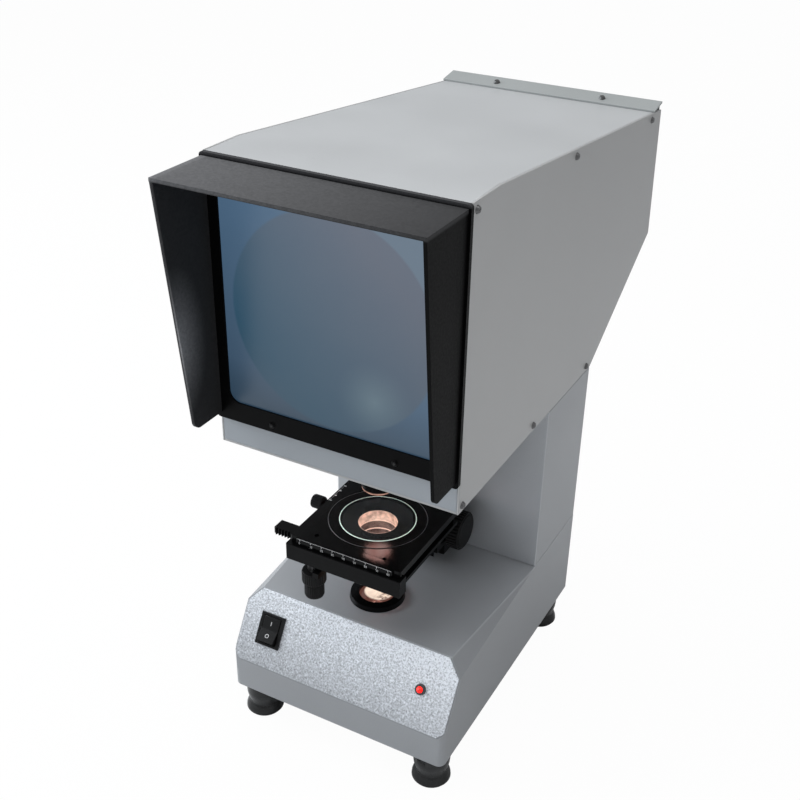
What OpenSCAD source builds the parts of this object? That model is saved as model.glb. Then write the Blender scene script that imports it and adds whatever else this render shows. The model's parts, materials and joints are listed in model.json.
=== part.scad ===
// Bench profile projector: a stand that lights a specimen from below, an XY and rotary stage
// on a rack lift, and a head that folds the light to a ground glass screen.
// X runs across the screen, Y runs to the rear, Z runs up. The feet stand on Z = 0.

/* [Stand] */
// Width of the base, the column and the head
base_w = 223; // [214:1:232]
// Depth of the base
base_d = 294; // [288:1:304]
// Height of the base, from its lower rim to its top
base_h = 95; // [90:1:105]
// Height of the upright band at the foot of the sloping front
band_h = 32.5; // [26:0.5:38]
// How far the sloping front leans back
panel_run = 37.5; // [32:0.5:42]
// Radius of the upright front corners
base_corner_r = 7; // [4:0.5:9]
// How far the side facets cut into the top at the front
facet_inset = 13; // [8:0.5:16]
// Slope of the side facets in degrees
facet_tilt = 45; // [40:1:50]
// Wall of the base and the column
shell_t = 3; // [2.5:0.5:4]
// Depth of the column
column_d = 102; // [94:1:108]
// Height of the column above the base
column_h = 173; // [170:1:180]
// How far the base stands out before the head
base_lead = 8; // [4:1:12]

/* [Feet] */
// Height of the rubber feet
foot_h = 36; // [32:1:40]
// Width of a foot's cup
foot_d = 36; // [32:1:40]
// Distance from a foot's axis to the base's sides
foot_inset = 20; // [19:0.5:24]
// Thread diameter of the foot screws
foot_screw_d = 5; // [4:0.5:6]

/* [Front panel] */
// Thickness of the hammered panel
panel_t = 1.2; // [0.8:0.1:2]
// Bare margin round the panel
panel_margin = 1; // [0.5:0.5:3]
// Width of the rocker switch
switch_w = 25.3; // [24:0.1:28]
// Length of the rocker switch
switch_l = 30.5; // [30:0.5:34]
// Distance from the base's sides to the switch and to the indicator
switch_inset = 32.5; // [28:0.5:40]
// Throw of the rocker from one side to the other in degrees
rocker_throw = 24; // [16:1:26]
// Diameter of the lamp indicator's ring
led_d = 10.5; // [9:0.5:13]

/* [Illumination] */
// Diameter of the condenser's flange
condenser_d = 52; // [48:1:56]
// Height of the condenser's flange over the base
condenser_h = 4.6; // [3:0.2:7]
// Clear diameter of the condenser lens
condenser_bore = 34; // [28:1:36]
// Height of the lamp's axis over the bottom plate
lamp_h = 56; // [50:1:60]

/* [Stage] */
// Setback of the optical axis from the head's front
axis_setback = 71.5; // [70:0.5:74]
// Width of the square table
table_w = 110; // [106:1:116]
// Depth of the square table
table_d = 125; // [124:0.5:128]
// Thickness of the square table
table_t = 6.5; // [6:0.5:8]
// Height of the table's top over the base
table_rise = 86.5; // [84:0.5:90]
// Diameter of the rotary table
rotary_d = 90; // [86:1:92]
// Diameter of the stage glass
glass_d = 70; // [64:1:72]
// Travel of each cross slide to either side
slide_travel = 5; // [3:0.5:5]
// Travel of the lift to either side
lift_travel = 6; // [4:0.5:6]
// Diameter of the lift handwheel
wheel_d = 38; // [32:1:40]
// Diameter of the upper drive knob
y_knob_d = 22; // [20:0.5:26]
// Diameter of the lower drive knob
x_knob_d = 18; // [16:0.5:20]
// Gap between sliding faces
slide_gap = 0.1; // [0.05:0.05:0.2]
// Radial clearance of turning shafts
run_gap = 0.05; // [0.03:0.01:0.08]

/* [Head] */
// Width of the head over its side panels
head_w = 223; // [214:1:232]
// Height of the head at its front
head_h = 252; // [246:1:260]
// Depth of the head at its longest
head_d = 430; // [424:1:440]
// Depth of the flat strip along the roof's front
roof_flat = 44; // [36:1:52]
// Fall of the roof from the flat strip to the rear lip
roof_fall = 33; // [24:1:40]
// Height of the rear corner over the head's underside
rear_rise = 89; // [84:1:96]
// Depth of the rear cover's lip
lip_d = 22; // [18:1:26]
// Rise of the lip over its own depth
lip_rise = 5; // [3:0.5:8]
// How far the rear wall leans out towards its foot
rear_lean = 10; // [6:1:14]
// Sheet thickness of the head
sheet_t = 2; // [1.5:0.5:2.5]

/* [Screen] */
// How far the black frame stands out past each side of the head
bezel_over = 0.5; // [0:0.5:1.5]
// Thickness of that frame
bezel_t = 4; // [3.5:0.5:6]
// Height of the frame's lower edge over the head's underside
bezel_lift = 26; // [20:1:32]
// Border at each side of the screen
screen_side = 14; // [12:0.5:18]
// Clear height of the screen
screen_h = 184; // [178:1:188]
// Border under the screen
screen_border = 18; // [16:0.5:22]
// Thickness of the ground glass
screen_t = 2.5; // [2:0.1:2.6]
// Reach of the hood at its top
hood_reach = 60; // [50:1:70]
// Reach of the hood at the foot of its wings
hood_foot = 35.5; // [28:0.5:44]
// How far the hood's wings lie inside the head's sides
hood_inset = 1.5; // [0.5:0.5:4]
// Thickness of the hood
hood_t = 3; // [2:0.5:4]

/* [Optics] */
// Height of the objective's lower rim under the head
objective_l = 52; // [48:1:56]
// Diameter of the objective's barrel
objective_d = 40; // [36:1:44]
// Clear diameter of the objective
objective_bore = 24; // [20:1:26]
// Height of the folding mirror over the head's underside
fold_rise = 81; // [78:1:88]
// Space at each side of the rear mirror
rear_mirror_side = 16.5; // [14:0.5:24]
// Height of the rear mirror
rear_mirror_h = 90; // [80:1:92]

/* [Hidden] */
$fn = 64;

// Cuts run past the faces they open
over = 1;
// Clearance between fixed pieces that are dropped into one another
seat_gap = 0.1;
black = [0.07, 0.07, 0.08];
grey = [0.62, 0.63, 0.64];
steel = [0.75, 0.76, 0.78];
clear = [0.8, 0.9, 0.9, 0.5];

// Places along X
bezel_w = head_w + 2 * bezel_over;
screen_w = bezel_w - 2 * screen_side;
hood_w = head_w - 2 * hood_inset;
switch_x = base_w / 2 - switch_inset;
rear_mirror_w = head_w - 2 * rear_mirror_side;

// Places along Y
overall_d = hood_reach + bezel_t + head_d;
head_front_y = -overall_d / 2 + hood_reach + bezel_t;
head_rear_y = head_front_y + head_d;
base_front_y = head_front_y - base_lead;
base_rear_y = base_front_y + base_d;
column_front_y = base_rear_y - column_d;
axis_y = head_front_y + axis_setback;
bezel_front_y = head_front_y - bezel_t;
panel_top_y = base_front_y + panel_run;

// Places along Z
base_bottom_z = foot_h;
base_top_z = base_bottom_z + base_h;
band_top_z = base_bottom_z + band_h;
head_bottom_z = base_top_z + column_h;
head_top_z = head_bottom_z + head_h;
table_top_z = base_top_z + table_rise;

// Sloping front
panel_rise = base_h - band_h;
panel_len = sqrt(panel_run * panel_run + panel_rise * panel_rise);
panel_tilt = atan2(panel_rise, panel_run);
panel_stretch = panel_len / panel_rise;
facet_len = column_front_y - panel_top_y;
facet_turn = atan(facet_inset / facet_len);
facet_fall = tan(facet_tilt) * sin(facet_turn);
facet_h = facet_fall * facet_len / (1 - facet_fall * panel_run / panel_rise);
panel_mid = panel_len / 2;

// Rack and pinion teeth, one size for all three drives
tooth_m = 1;
tooth_n = 10;
pinion_r = tooth_m * tooth_n / 2;
pitch = PI * tooth_m;
tooth_tip = 0.8 * tooth_m;
tooth_root = 1.1 * tooth_m;
tooth_slope = 0.4;

// Stage stack, from the table down
slide_lift = 0.5;
table_z = table_top_z - table_t;
y_slide_top_z = table_z - slide_lift;
bar_h = table_z - 6.7;
bar_floor_z = table_z - 7;
y_floor_t = 5;
rail_top_z = bar_floor_z - y_floor_t;
rail_h = 4;
rail_z = rail_top_z - rail_h;
carrier_z = rail_z - 4;
arm_t = 9;
arm_z = carrier_z - arm_t;
block_h = 16.5;
block_z = y_slide_top_z - block_h;
block_w = table_w + 4;
table_front_y = axis_y - table_d / 2 + 4;
table_rear_y = table_front_y + table_d;
scale_t = 2;
block_front_y = table_front_y - scale_t - 3;
block_d = 12;
knob_x = -34;
knob_y = block_front_y + 9;
bar_pitch_y = knob_y + pinion_r;
bar_root_y = bar_pitch_y + tooth_root;
bar_d = 12;
bar_rear_y = bar_root_y + bar_d;
bar_left = 24;
base_plate_front_y = bar_pitch_y + 8;
slide_rear_y = table_rear_y - 5;
rotary_t = 4.5;
rotary_proud = 0.5;
rotary_ledge = 5;
glass_t = 3.3;
glass_proud = 0.3;
glass_ledge = 3;
tube_bore = 35;
tube_wall = 1.5;

// Lift
lift_axis_d = 28;
lift_axis_h = 37;
lift_y = column_front_y - lift_axis_d;
lift_z = base_top_z + lift_axis_h;
lift_front_y = lift_y - 7;
lift_rail_d = 8;
lift_rail_y = lift_front_y - lift_rail_d;
lift_clear = 8;
lift_body_w = 60;
lift_body_h = 60;
lift_body_z = base_top_z + 7;
lift_shaft_d = 12;
carriage_wall = 12;
carriage_front_y = lift_rail_y - carriage_wall;
carriage_h = 38;
wheel_w = 12;
wheel_x = lift_body_w / 2 + 6;

// Drive knobs hang under the front block
drive_tube_d = 10;
drive_shaft_d = 6;
y_pinion_z = carrier_z - 5.5;
y_knob_h = 12.5;
y_knob_z = y_pinion_z - 1 - y_knob_h;
x_knob_h = 14.5;
x_knob_z = y_knob_z - 0.5 - x_knob_h;

// Head outline
lip_front_y = head_rear_y - rear_lean - lip_d;
roof_run = lip_front_y - (head_front_y + roof_flat);
roof_slope = roof_fall / roof_run;
wall_top_y = head_rear_y - rear_lean;
wall_top_z = head_top_z - roof_slope * (wall_top_y - head_front_y - roof_flat);
rear_corner_z = head_bottom_z + rear_rise;
lip_z = head_top_z - roof_fall;
inner_w = head_w - 2 * sheet_t;
bezel_bottom_z = head_bottom_z + bezel_lift;
screen_bottom_z = bezel_bottom_z + screen_border;
screen_mid_z = screen_bottom_z + screen_h / 2;
screen_seat = 5;

// Folded light path: up the axis, back to the rear mirror, forward to the screen
fold_z = head_bottom_z + fold_rise;
rear_mirror_gap = 19;
rear_mirror_y = head_rear_y - rear_mirror_gap;
beam_rise = atan2(screen_mid_z - fold_z, rear_mirror_y - axis_y);
fold_tilt = 45 + beam_rise / 2;
mirror_t = 4;

function roof_z(y) = head_top_z - max(0, y - head_front_y - roof_flat) * roof_slope;

// Side profiles are drawn as (Y, Z) and swept along X
module along_x(length) {
    translate([-length / 2, 0, 0]) rotate([90, 0, 90]) linear_extrude(length) children();
}

// Front profiles are drawn as (X, Z) and swept along Y from y
module along_y(y, length) {
    translate([0, y + length, 0]) rotate([90, 0, 0]) linear_extrude(length) children();
}

module round_plate(w, d, h, r) {
    translate([-w / 2 + r, 0, 0]) cube([w - 2 * r, d, h]);
    translate([-w / 2, r, 0]) cube([w, d - 2 * r, h]);
    for (x = [-w / 2 + r, w / 2 - r], y = [r, d - r])
        translate([x, y, 0]) cylinder(r = r, h = h);
}

// Frame of the sloping front: X across, Y up the slope, Z out of it
module on_panel() {
    translate([0, base_front_y, band_top_z]) rotate([panel_tilt, 0, 0]) children();
}

module at_axis(z) {
    translate([0, axis_y, z]) children();
}

module at_feet() {
    for (x = [-1, 1], y = [base_front_y + foot_inset, base_rear_y - foot_inset])
        translate([x * (base_w / 2 - foot_inset), y, 0]) children();
}

// One pinion in section, a tooth pointing along +X
module pinion_2d() {
    rings = [
        [pinion_r - tooth_root, 0.27], [pinion_r, 0.2], [pinion_r + tooth_tip, 0.09]
    ];
    flank = concat(
        [for (k = [0:2]) [rings[k][0], -rings[k][1]]],
        [for (k = [2:-1:0]) [rings[k][0], rings[k][1]]]
    );
    polygon([
        for (i = [0:tooth_n - 1], q = flank)
            let (a = 360 * i / tooth_n + q[1] * pitch / q[0] * 180 / PI)
                [q[0] * cos(a), q[0] * sin(a)]
    ]);
}

// A rack in section along X with its pitch line on Y = 0 and its teeth towards -Y.
// A gap between teeth lies at X = 0.
module rack_2d(left, right, back) {
    first = -floor(left / pitch);
    last = floor(right / pitch) - 1;
    half = 0.2 * pitch;
    polygon(concat(
        [[-left, back], [-left, tooth_root]],
        [
            for (k = [first:last], q = [[-1, 1], [-1, -1], [1, -1], [1, 1]])
                let (
                    y = q[1] > 0 ? tooth_root : -tooth_tip,
                    x = half + y * tooth_slope
                ) [(k + 0.5) * pitch + q[0] * x, y]
        ],
        [[right, tooth_root], [right, back]]
    ));
}

// Outline of the base seen from the side, drawn in by d
function base_profile(d) = [
    [base_front_y + d, base_bottom_z - (d > 0 ? over : 0)],
    [base_rear_y - d, base_bottom_z - (d > 0 ? over : 0)],
    [base_rear_y - d, base_top_z - d],
    [panel_top_y + d * (panel_stretch - panel_run / panel_rise), base_top_z - d],
    [base_front_y + d, band_top_z - d * (panel_stretch - 1) * panel_rise / panel_run]
];

module base_plan(d) {
    w = base_w - 2 * d;
    r = base_corner_r - d;
    translate([0, base_front_y + d, base_bottom_z - over]) {
        translate([-w / 2, r, 0]) cube([w, base_d - 2 * d - r, base_h + 2 * over]);
        translate([-w / 2 + r, 0, 0]) cube([w - 2 * r, 2 * r, base_h + 2 * over]);
        for (x = [-1, 1])
            translate([x * (w / 2 - r), r, 0]) cylinder(r = r, h = base_h + 2 * over);
    }
}

// Wedge above one side facet, sunk by d
module facet_cut(side, d) {
    mirror([side < 0 ? 1 : 0, 0, 0])
        translate([base_w / 2, column_front_y, base_top_z])
            rotate([0, 0, -facet_turn])
                rotate([0, facet_tilt, 0])
                    translate([-facet_inset, -2 * facet_len, -d])
                        cube([4 * facet_inset, 2 * facet_len, 4 * facet_inset]);
}

module base_block(d) {
    difference() {
        intersection() {
            along_x(base_w - 2 * d) polygon(base_profile(d));
            base_plan(d);
        }
        for (side = [-1, 1])
            facet_cut(side, d);
    }
}

condenser_barrel_r = condenser_bore / 2 + 4;
switch_body_w = switch_w - 2.3;
switch_body_l = switch_l - 1.9;
switch_body_d = 18;
led_shank_d = led_d - 2.5;
led_x = switch_x;
inlet_x = base_w / 4;
inlet_rise = 40;
inlet_z = base_bottom_z + inlet_rise;
inlet_w = 28;
inlet_h = 21;
cable_d = 26;

module base_shell() {
    color(grey) difference() {
        base_block(0);
        base_block(shell_t);
        at_axis(base_top_z - 2 * shell_t) cylinder(r = condenser_barrel_r + seat_gap, h = 4 * shell_t);
        translate([0, base_rear_y - column_d / 2, base_top_z - 2 * shell_t])
            cylinder(d = cable_d, h = 4 * shell_t);
        on_panel() {
            translate([-switch_x, panel_mid, 0])
                cube([switch_body_w + 2 * seat_gap, switch_body_l + 2 * seat_gap, 4 * shell_t], center = true);
            translate([led_x, panel_mid, -2 * shell_t]) cylinder(d = led_shank_d + 2 * seat_gap, h = 4 * shell_t);
        }
        translate([inlet_x, base_rear_y, inlet_z])
            cube([inlet_w + 2 * seat_gap, 4 * shell_t, inlet_h + 2 * seat_gap], center = true);
    }
}

vent_n = 7;
vent_l = 70;
vent_w = 5;
vent_step = 13;

module column_shell() {
    color(grey) difference() {
        translate([-base_w / 2, column_front_y, base_top_z]) cube([base_w, column_d, column_h]);
        translate([-base_w / 2 + shell_t, column_front_y + shell_t, base_top_z - over])
            cube([base_w - 2 * shell_t, column_d - 2 * shell_t, column_h + 2 * over]);
        for (i = [0:vent_n - 1])
            translate([-vent_l / 2, base_rear_y - 2 * shell_t, base_top_z + column_h / 2 + (i - vent_n / 2) * vent_step])
                cube([vent_l, 3 * shell_t, vent_w]);
    }
}

plate_t = 2;
boss_h = 8;
boss_d = 12;
plate_top_z = base_bottom_z + plate_t;
plate_inset = shell_t + 0.3;

module bottom_plate() {
    color(grey) difference() {
        union() {
            translate([-base_w / 2 + plate_inset, base_front_y + base_corner_r, base_bottom_z])
                cube([base_w - 2 * plate_inset, base_d - base_corner_r - plate_inset, plate_t]);
            at_feet() translate([0, 0, base_bottom_z]) cylinder(d = boss_d, h = plate_t + boss_h);
        }
        at_feet() cylinder(d = foot_screw_d + 2 * seat_gap, h = base_bottom_z + 2 * boss_h);
        for (i = [0:vent_n - 1])
            translate([-vent_l / 2, axis_y + (i - vent_n / 2) * vent_step / 2 - 30, base_bottom_z - over])
                cube([vent_l, vent_w / 2, plate_t + 2 * over]);
    }
}

foot_bore_h = 12;
foot_bore_d = 2 * foot_screw_d + 1;

// Rubber foot: a collar that narrows to a waist over a flared cup
module foot(x, y) {
    collar_r = foot_d / 2 - 1;
    waist_r = foot_d / 2 - 3.2;
    color(black) translate([x * (base_w / 2 - foot_inset), y, 0]) difference() {
        rotate_extrude() polygon([
            [0, 0], [foot_d / 2 - 1.5, 0], [foot_d / 2, 2], [foot_d / 2 - 0.3, 5],
            [waist_r + 1.4, 9], [waist_r, 12], [collar_r - 0.4, foot_h - 16],
            [collar_r, foot_h - 12], [collar_r, foot_h], [0, foot_h]
        ]);
        translate([0, 0, -over]) cylinder(d = foot_bore_d, h = foot_bore_h + over);
        cylinder(d = foot_screw_d + 2 * seat_gap, h = foot_h + over);
    }
}

module foot_front_left() foot(-1, base_front_y + foot_inset);
module foot_front_right() foot(1, base_front_y + foot_inset);
module foot_rear_left() foot(-1, base_rear_y - foot_inset);
module foot_rear_right() foot(1, base_rear_y - foot_inset);

module foot_screws() {
    head_h1 = 0.8 * foot_screw_d;
    color(steel) at_feet() {
        translate([0, 0, foot_bore_h - head_h1]) cylinder(d = 2 * foot_screw_d - 1, h = head_h1);
        translate([0, 0, foot_bore_h - head_h1]) cylinder(d = foot_screw_d, h = foot_h - foot_bore_h + head_h1 + boss_h);
    }
}

panel_cut = 6;

module front_panel() {
    low_x = base_w / 2 - panel_margin;
    high_x = base_w / 2 - facet_inset - panel_margin;
    shoulder = panel_len * (1 - facet_h / panel_rise) - panel_margin / 2;
    half = [
        [low_x - panel_cut, panel_margin], [low_x, panel_margin + panel_cut],
        [low_x, shoulder], [high_x, panel_len - panel_margin]
    ];
    color([0.8, 0.82, 0.84]) on_panel() difference() {
        linear_extrude(panel_t)
            polygon(concat(half, [for (i = [3:-1:0]) [-half[i][0], half[i][1]]]));
        translate([-switch_x, panel_mid, 0])
            cube([switch_body_w + 2 * seat_gap, switch_body_l + 2 * seat_gap, 4 * panel_t], center = true);
        translate([led_x, panel_mid, -over]) cylinder(d = led_shank_d + 2 * seat_gap, h = panel_t + 2 * over);
    }
}

switch_flange_t = 2;
rocker_w = switch_body_w - 5.5;
rocker_l = 24;
rocker_pin_d = 3;
rocker_pin_l = rocker_w + 3.4;
rocker_slot_l = rocker_l + 2.4;
rocker_pivot_z = panel_t + 0.6;

module switch_frame() {
    color(black) on_panel() translate([-switch_x, panel_mid, 0]) difference() {
        union() {
            translate([-switch_w / 2, -switch_l / 2, panel_t]) cube([switch_w, switch_l, switch_flange_t]);
            translate([-switch_body_w / 2, -switch_body_l / 2, panel_t - switch_body_d])
                cube([switch_body_w, switch_body_l, switch_body_d]);
        }
        translate([-rocker_w / 2 - 0.6, -rocker_slot_l / 2, panel_t - 10])
            cube([rocker_w + 1.2, rocker_slot_l, 10 + 2 * switch_flange_t]);
        translate([-rocker_pin_l / 2 - 0.3, 0, rocker_pivot_z]) rotate([0, 90, 0])
            cylinder(d = rocker_pin_d + 2 * run_gap, h = rocker_pin_l + 0.6);
    }
}

// Rocker at rest with its upper half pressed in
module switch_rocker() {
    half_l = rocker_l / 2;
    dish = half_l * tan(rocker_throw / 2);
    color(black) on_panel() translate([-switch_x, panel_mid, rocker_pivot_z]) rotate([-rocker_throw / 2, 0, 0]) {
        along_x(rocker_w) polygon([
            [-half_l, -4], [half_l, -4], [half_l, 2 + dish], [0, 2], [-half_l, 2 + dish]
        ]);
        translate([-rocker_pin_l / 2, 0, 0]) rotate([0, 90, 0]) cylinder(d = rocker_pin_d, h = rocker_pin_l);
    }
}

led_ring_h = 2.4;

module led_holder() {
    color(black) on_panel() translate([led_x, panel_mid, panel_t]) difference() {
        union() {
            cylinder(d1 = led_d, d2 = led_d - 1.4, h = led_ring_h);
            translate([0, 0, -10]) cylinder(d = led_shank_d, h = 10);
        }
        translate([0, 0, -8]) cylinder(d = led_shank_d - 2, h = 8 + led_ring_h + over);
    }
}

module led_lens() {
    r = led_shank_d / 2 - 1 - seat_gap / 2;
    color([0.8, 0.05, 0.05]) on_panel() translate([led_x, panel_mid, panel_t]) {
        translate([0, 0, -8]) cylinder(r = r, h = 8 + led_ring_h - 0.6);
        translate([0, 0, led_ring_h - 0.6]) intersection() {
            sphere(r = r);
            cylinder(r = r, h = r);
        }
    }
}

condenser_lens_t = 5;
condenser_depth = 16;

module condenser_ring() {
    color(black) at_axis(base_top_z) difference() {
        union() {
            cylinder(d1 = condenser_d, d2 = condenser_d - 2, h = condenser_h);
            translate([0, 0, -condenser_depth]) cylinder(r = condenser_barrel_r, h = condenser_depth);
        }
        translate([0, 0, -condenser_depth - over]) cylinder(d = condenser_bore - 3, h = condenser_depth + 2 * over + condenser_h);
        translate([0, 0, condenser_h - condenser_lens_t]) cylinder(d = condenser_bore, h = condenser_lens_t + over);
    }
}

// Plano-convex lens, its dome just under the flange's rim
module condenser_lens() {
    r = condenser_bore / 2 - run_gap;
    rise = 3;
    ball = (r * r + rise * rise) / (2 * rise);
    color(clear) at_axis(base_top_z + condenser_h - condenser_lens_t) {
        intersection() {
            cylinder(r = r, h = condenser_lens_t - 0.5);
            translate([0, 0, condenser_lens_t - 0.5 - ball]) sphere(r = ball, $fn = 128);
        }
    }
}

lamp_z = plate_top_z + lamp_h;
lamp_box_w = 62;
lamp_box_d = 58;
lamp_box_back = 34;
lamp_box_y = axis_y + lamp_box_back;
lamp_wall = 2.5;

module lamp_housing() {
    h = base_h - plate_t - shell_t - 4;
    color(steel) translate([-lamp_box_w / 2, lamp_box_y, plate_top_z]) difference() {
        cube([lamp_box_w, lamp_box_d, h]);
        translate([lamp_wall, -over, lamp_wall])
            cube([lamp_box_w - 2 * lamp_wall, lamp_box_d - lamp_wall + over, h - 2 * lamp_wall]);
        for (i = [0:4])
            translate([lamp_wall + 6, 8 + i * 9, h - 2 * lamp_wall]) cube([lamp_box_w - 2 * lamp_wall - 12, 4, 3 * lamp_wall]);
    }
}

lamp_socket_d = 24;
lamp_socket_l = 18;
lamp_back_y = lamp_box_y + lamp_box_d - lamp_wall;

module lamp_socket() {
    color("ivory") translate([0, lamp_back_y, lamp_z]) rotate([90, 0, 0]) difference() {
        cylinder(d = lamp_socket_d, h = lamp_socket_l);
        translate([0, 0, lamp_socket_l - 7]) cylinder(d = 9.5 + 2 * run_gap, h = 7 + over);
    }
}

module lamp_bulb() {
    color(clear) translate([0, lamp_back_y - lamp_socket_l + 7, lamp_z]) rotate([90, 0, 0]) rotate_extrude()
        polygon([[0, 0], [4.75, 0], [4.75, 10], [6, 12], [6, 30], [4.5, 34], [2, 36], [0, 36.4]]);
}

lamp_mirror_w = 44;
lamp_mirror_l = 56;
lamp_mirror_t = 3;

// Wedge that holds the lamp mirror at 45 degrees under the condenser
module lamp_mirror_block() {
    half = lamp_mirror_l / 2 * cos(45);
    back = lamp_mirror_t / cos(45);
    color(steel) along_x(lamp_mirror_w - 8) polygon([
        [axis_y - half - 12, plate_top_z], [axis_y + half, plate_top_z],
        [axis_y + half, lamp_z - half - back], [axis_y - half, lamp_z + half - back],
        [axis_y - half - 12, lamp_z + half - back]
    ]);
}

module lamp_mirror() {
    color(clear) at_axis(lamp_z) rotate([-45, 0, 0])
        translate([-lamp_mirror_w / 2, -lamp_mirror_l / 2, -lamp_mirror_t])
            cube([lamp_mirror_w, lamp_mirror_l, lamp_mirror_t]);
}

core_w = 84;
core_h = 70;
core_t = 28;
core_leg = 14;
core_y = base_rear_y - column_d / 2 + 8;

// Laminated core with two windows, standing on the bottom plate
module transformer_core() {
    window_w = (core_w - 4 * core_leg) / 2;
    color([0.35, 0.33, 0.32]) along_y(core_y - core_t / 2, core_t) translate([0, plate_top_z]) difference() {
        translate([-core_w / 2, 0]) square([core_w, core_h]);
        for (s = [-1, 1])
            translate([s * (core_leg + window_w / 2) - window_w / 2, core_leg])
                square([window_w, core_h - 2 * core_leg]);
    }
}

module transformer_coil() {
    window_w = (core_w - 4 * core_leg) / 2;
    w = 2 * core_leg + 2 * window_w - 1;
    color([0.55, 0.3, 0.12]) translate([0, core_y, plate_top_z + core_leg + 0.3]) linear_extrude(core_h - 2 * core_leg - 0.6)
        difference() {
            square([w, core_t + w - 2 * core_leg], center = true);
            square([2 * core_leg + 0.4, core_t + 0.4], center = true);
        }
}

inlet_pin_w = 2;

module power_inlet() {
    color(black) translate([inlet_x, base_rear_y, inlet_z]) difference() {
        union() {
            translate([-inlet_w / 2, -24, -inlet_h / 2]) cube([inlet_w, 24, inlet_h]);
            translate([-inlet_w / 2 - 10, 0, -inlet_h / 2 - 2]) cube([inlet_w + 20, 2.5, inlet_h + 4]);
        }
        difference() {
            translate([-12, -15, -8]) cube([24, 20, 16]);
            for (i = [-1:1])
                translate([i * 7 - inlet_pin_w / 2, -15 - over, (i == 0 ? 2.5 : -2) - 2]) cube([inlet_pin_w, 12, 4]);
        }
        for (x = [-1, 1])
            translate([x * (inlet_w / 2 + 6), 2.5 + over, 0]) rotate([90, 0, 0]) cylinder(d = 3.5, h = 2.5 + 2 * over);
    }
}

lift_slot_w = 16;
lift_rail_root = 18;
lift_rail_tip = 23;

// Fixed slide of the lift, with a dovetail in front and the pinion's bore across it
module lift_body() {
    half = lift_body_w / 2;
    color(black) difference() {
        translate([0, 0, lift_body_z]) linear_extrude(lift_body_h) polygon([
            [-half, column_front_y], [-half, lift_front_y], [-lift_rail_root, lift_front_y],
            [-lift_rail_tip, lift_rail_y], [lift_rail_tip, lift_rail_y],
            [lift_rail_root, lift_front_y], [half, lift_front_y], [half, column_front_y]
        ]);
        translate([-lift_slot_w / 2, lift_rail_y - over, lift_body_z - over])
            cube([lift_slot_w, lift_y - lift_rail_y + pinion_r + 3 + over, lift_body_h + 2 * over]);
        translate([-half - over, lift_y, lift_z]) rotate([0, 90, 0])
            cylinder(d = lift_shaft_d + 2 * run_gap, h = lift_body_w + 2 * over);
    }
}

arm_ring_r = 33;
arm_hole_r = 24;
arm_w = 50;

// Carriage with the dovetail groove, and the arm that carries the stage
module stage_carrier() {
    g = slide_gap;
    half = lift_body_w / 2 + 2;
    rear = lift_front_y - 0.3;
    color(black) difference() {
        union() {
            translate([-half, carriage_front_y, carrier_z - carriage_h])
                cube([2 * half, rear - carriage_front_y, carriage_h]);
            translate([-arm_w / 2, axis_y, arm_z]) cube([arm_w, carriage_front_y - axis_y + over, arm_t]);
            at_axis(arm_z) cylinder(r = arm_ring_r, h = arm_t);
        }
        translate([0, 0, carrier_z - carriage_h - over]) linear_extrude(carriage_h + 2 * over) polygon([
            [-lift_rail_root - g, lift_front_y + over], [-lift_rail_tip - g, lift_rail_y - g],
            [lift_rail_tip + g, lift_rail_y - g], [lift_rail_root + g, lift_front_y + over]
        ]);
        at_axis(arm_z - over) cylinder(r = arm_hole_r, h = arm_t + 2 * over);
    }
}

rack_w = 12;

// Rack on the carriage, in the slot of the dovetail
module lift_rack() {
    back = lift_y - pinion_r - lift_rail_y + slide_gap;
    below = lift_z - (carrier_z - carriage_h);
    above = carrier_z - lift_z;
    color(steel) translate([-rack_w / 2, lift_y - pinion_r, lift_z]) rotate([0, 90, 0])
        linear_extrude(rack_w) rotate(180) rack_2d(below, above, back);
}

base_plate_w = 100;
rail_root = 36;
rail_tip = 40;

// Lower plate of the stage with the dovetail that guides the Y slide
module stage_base_plate() {
    d = lift_rail_y - lift_clear - base_plate_front_y;
    color(black) difference() {
        union() {
            translate([-base_plate_w / 2, base_plate_front_y, carrier_z]) cube([base_plate_w, d, rail_z - carrier_z]);
            along_y(base_plate_front_y, d) polygon([
                [-rail_root, rail_z], [rail_root, rail_z], [rail_tip, rail_top_z], [-rail_tip, rail_top_z]
            ]);
        }
        at_axis(carrier_z - over) cylinder(d = tube_bore + 2 * tube_wall + 2 * seat_gap, h = rail_top_z - carrier_z + 2 * over);
    }
}

tube_top_z = table_z + 1.5;

// Bright sleeve that brings the light up to the stage glass
module light_tube() {
    r = tube_bore / 2;
    color([0.85, 0.6, 0.45]) at_axis(0) rotate_extrude() polygon([
        [r, arm_z + 2], [r + tube_wall, arm_z + 2], [r + tube_wall, rail_top_z],
        [r + tube_wall + 1, rail_top_z], [r + tube_wall + 1, rail_top_z + 1.5],
        [r + tube_wall, rail_top_z + 1.5], [r + tube_wall, tube_top_z], [r, tube_top_z]
    ]);
}

y_rack_front = 12;
y_rack_back = 28;
y_rack_body = 7;

// Rack under the lower plate that the Y pinion climbs along
module y_rack() {
    color(steel) translate([knob_x + pinion_r, knob_y, y_pinion_z]) linear_extrude(carrier_z - y_pinion_z)
        rotate(-90) rack_2d(y_rack_back, y_rack_front, y_rack_body);
}

// Shaft across the lift with the pinion cut into its middle
module lift_shaft() {
    w = lift_slot_w - 2;
    left = -lift_body_w / 2 - 4;
    right = wheel_x + wheel_w - 2;
    color(steel) translate([0, lift_y, lift_z]) rotate([0, 90, 0]) {
        translate([0, 0, left]) cylinder(d = lift_shaft_d, h = -w / 2 - left);
        translate([0, 0, -w / 2]) linear_extrude(w) rotate(-90) pinion_2d();
        translate([0, 0, w / 2]) cylinder(d = lift_shaft_d, h = right - w / 2);
        translate([0, 0, left - 3]) cylinder(d = lift_shaft_d + 6, h = 3);
    }
}

wheel_ribs = 36;

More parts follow.
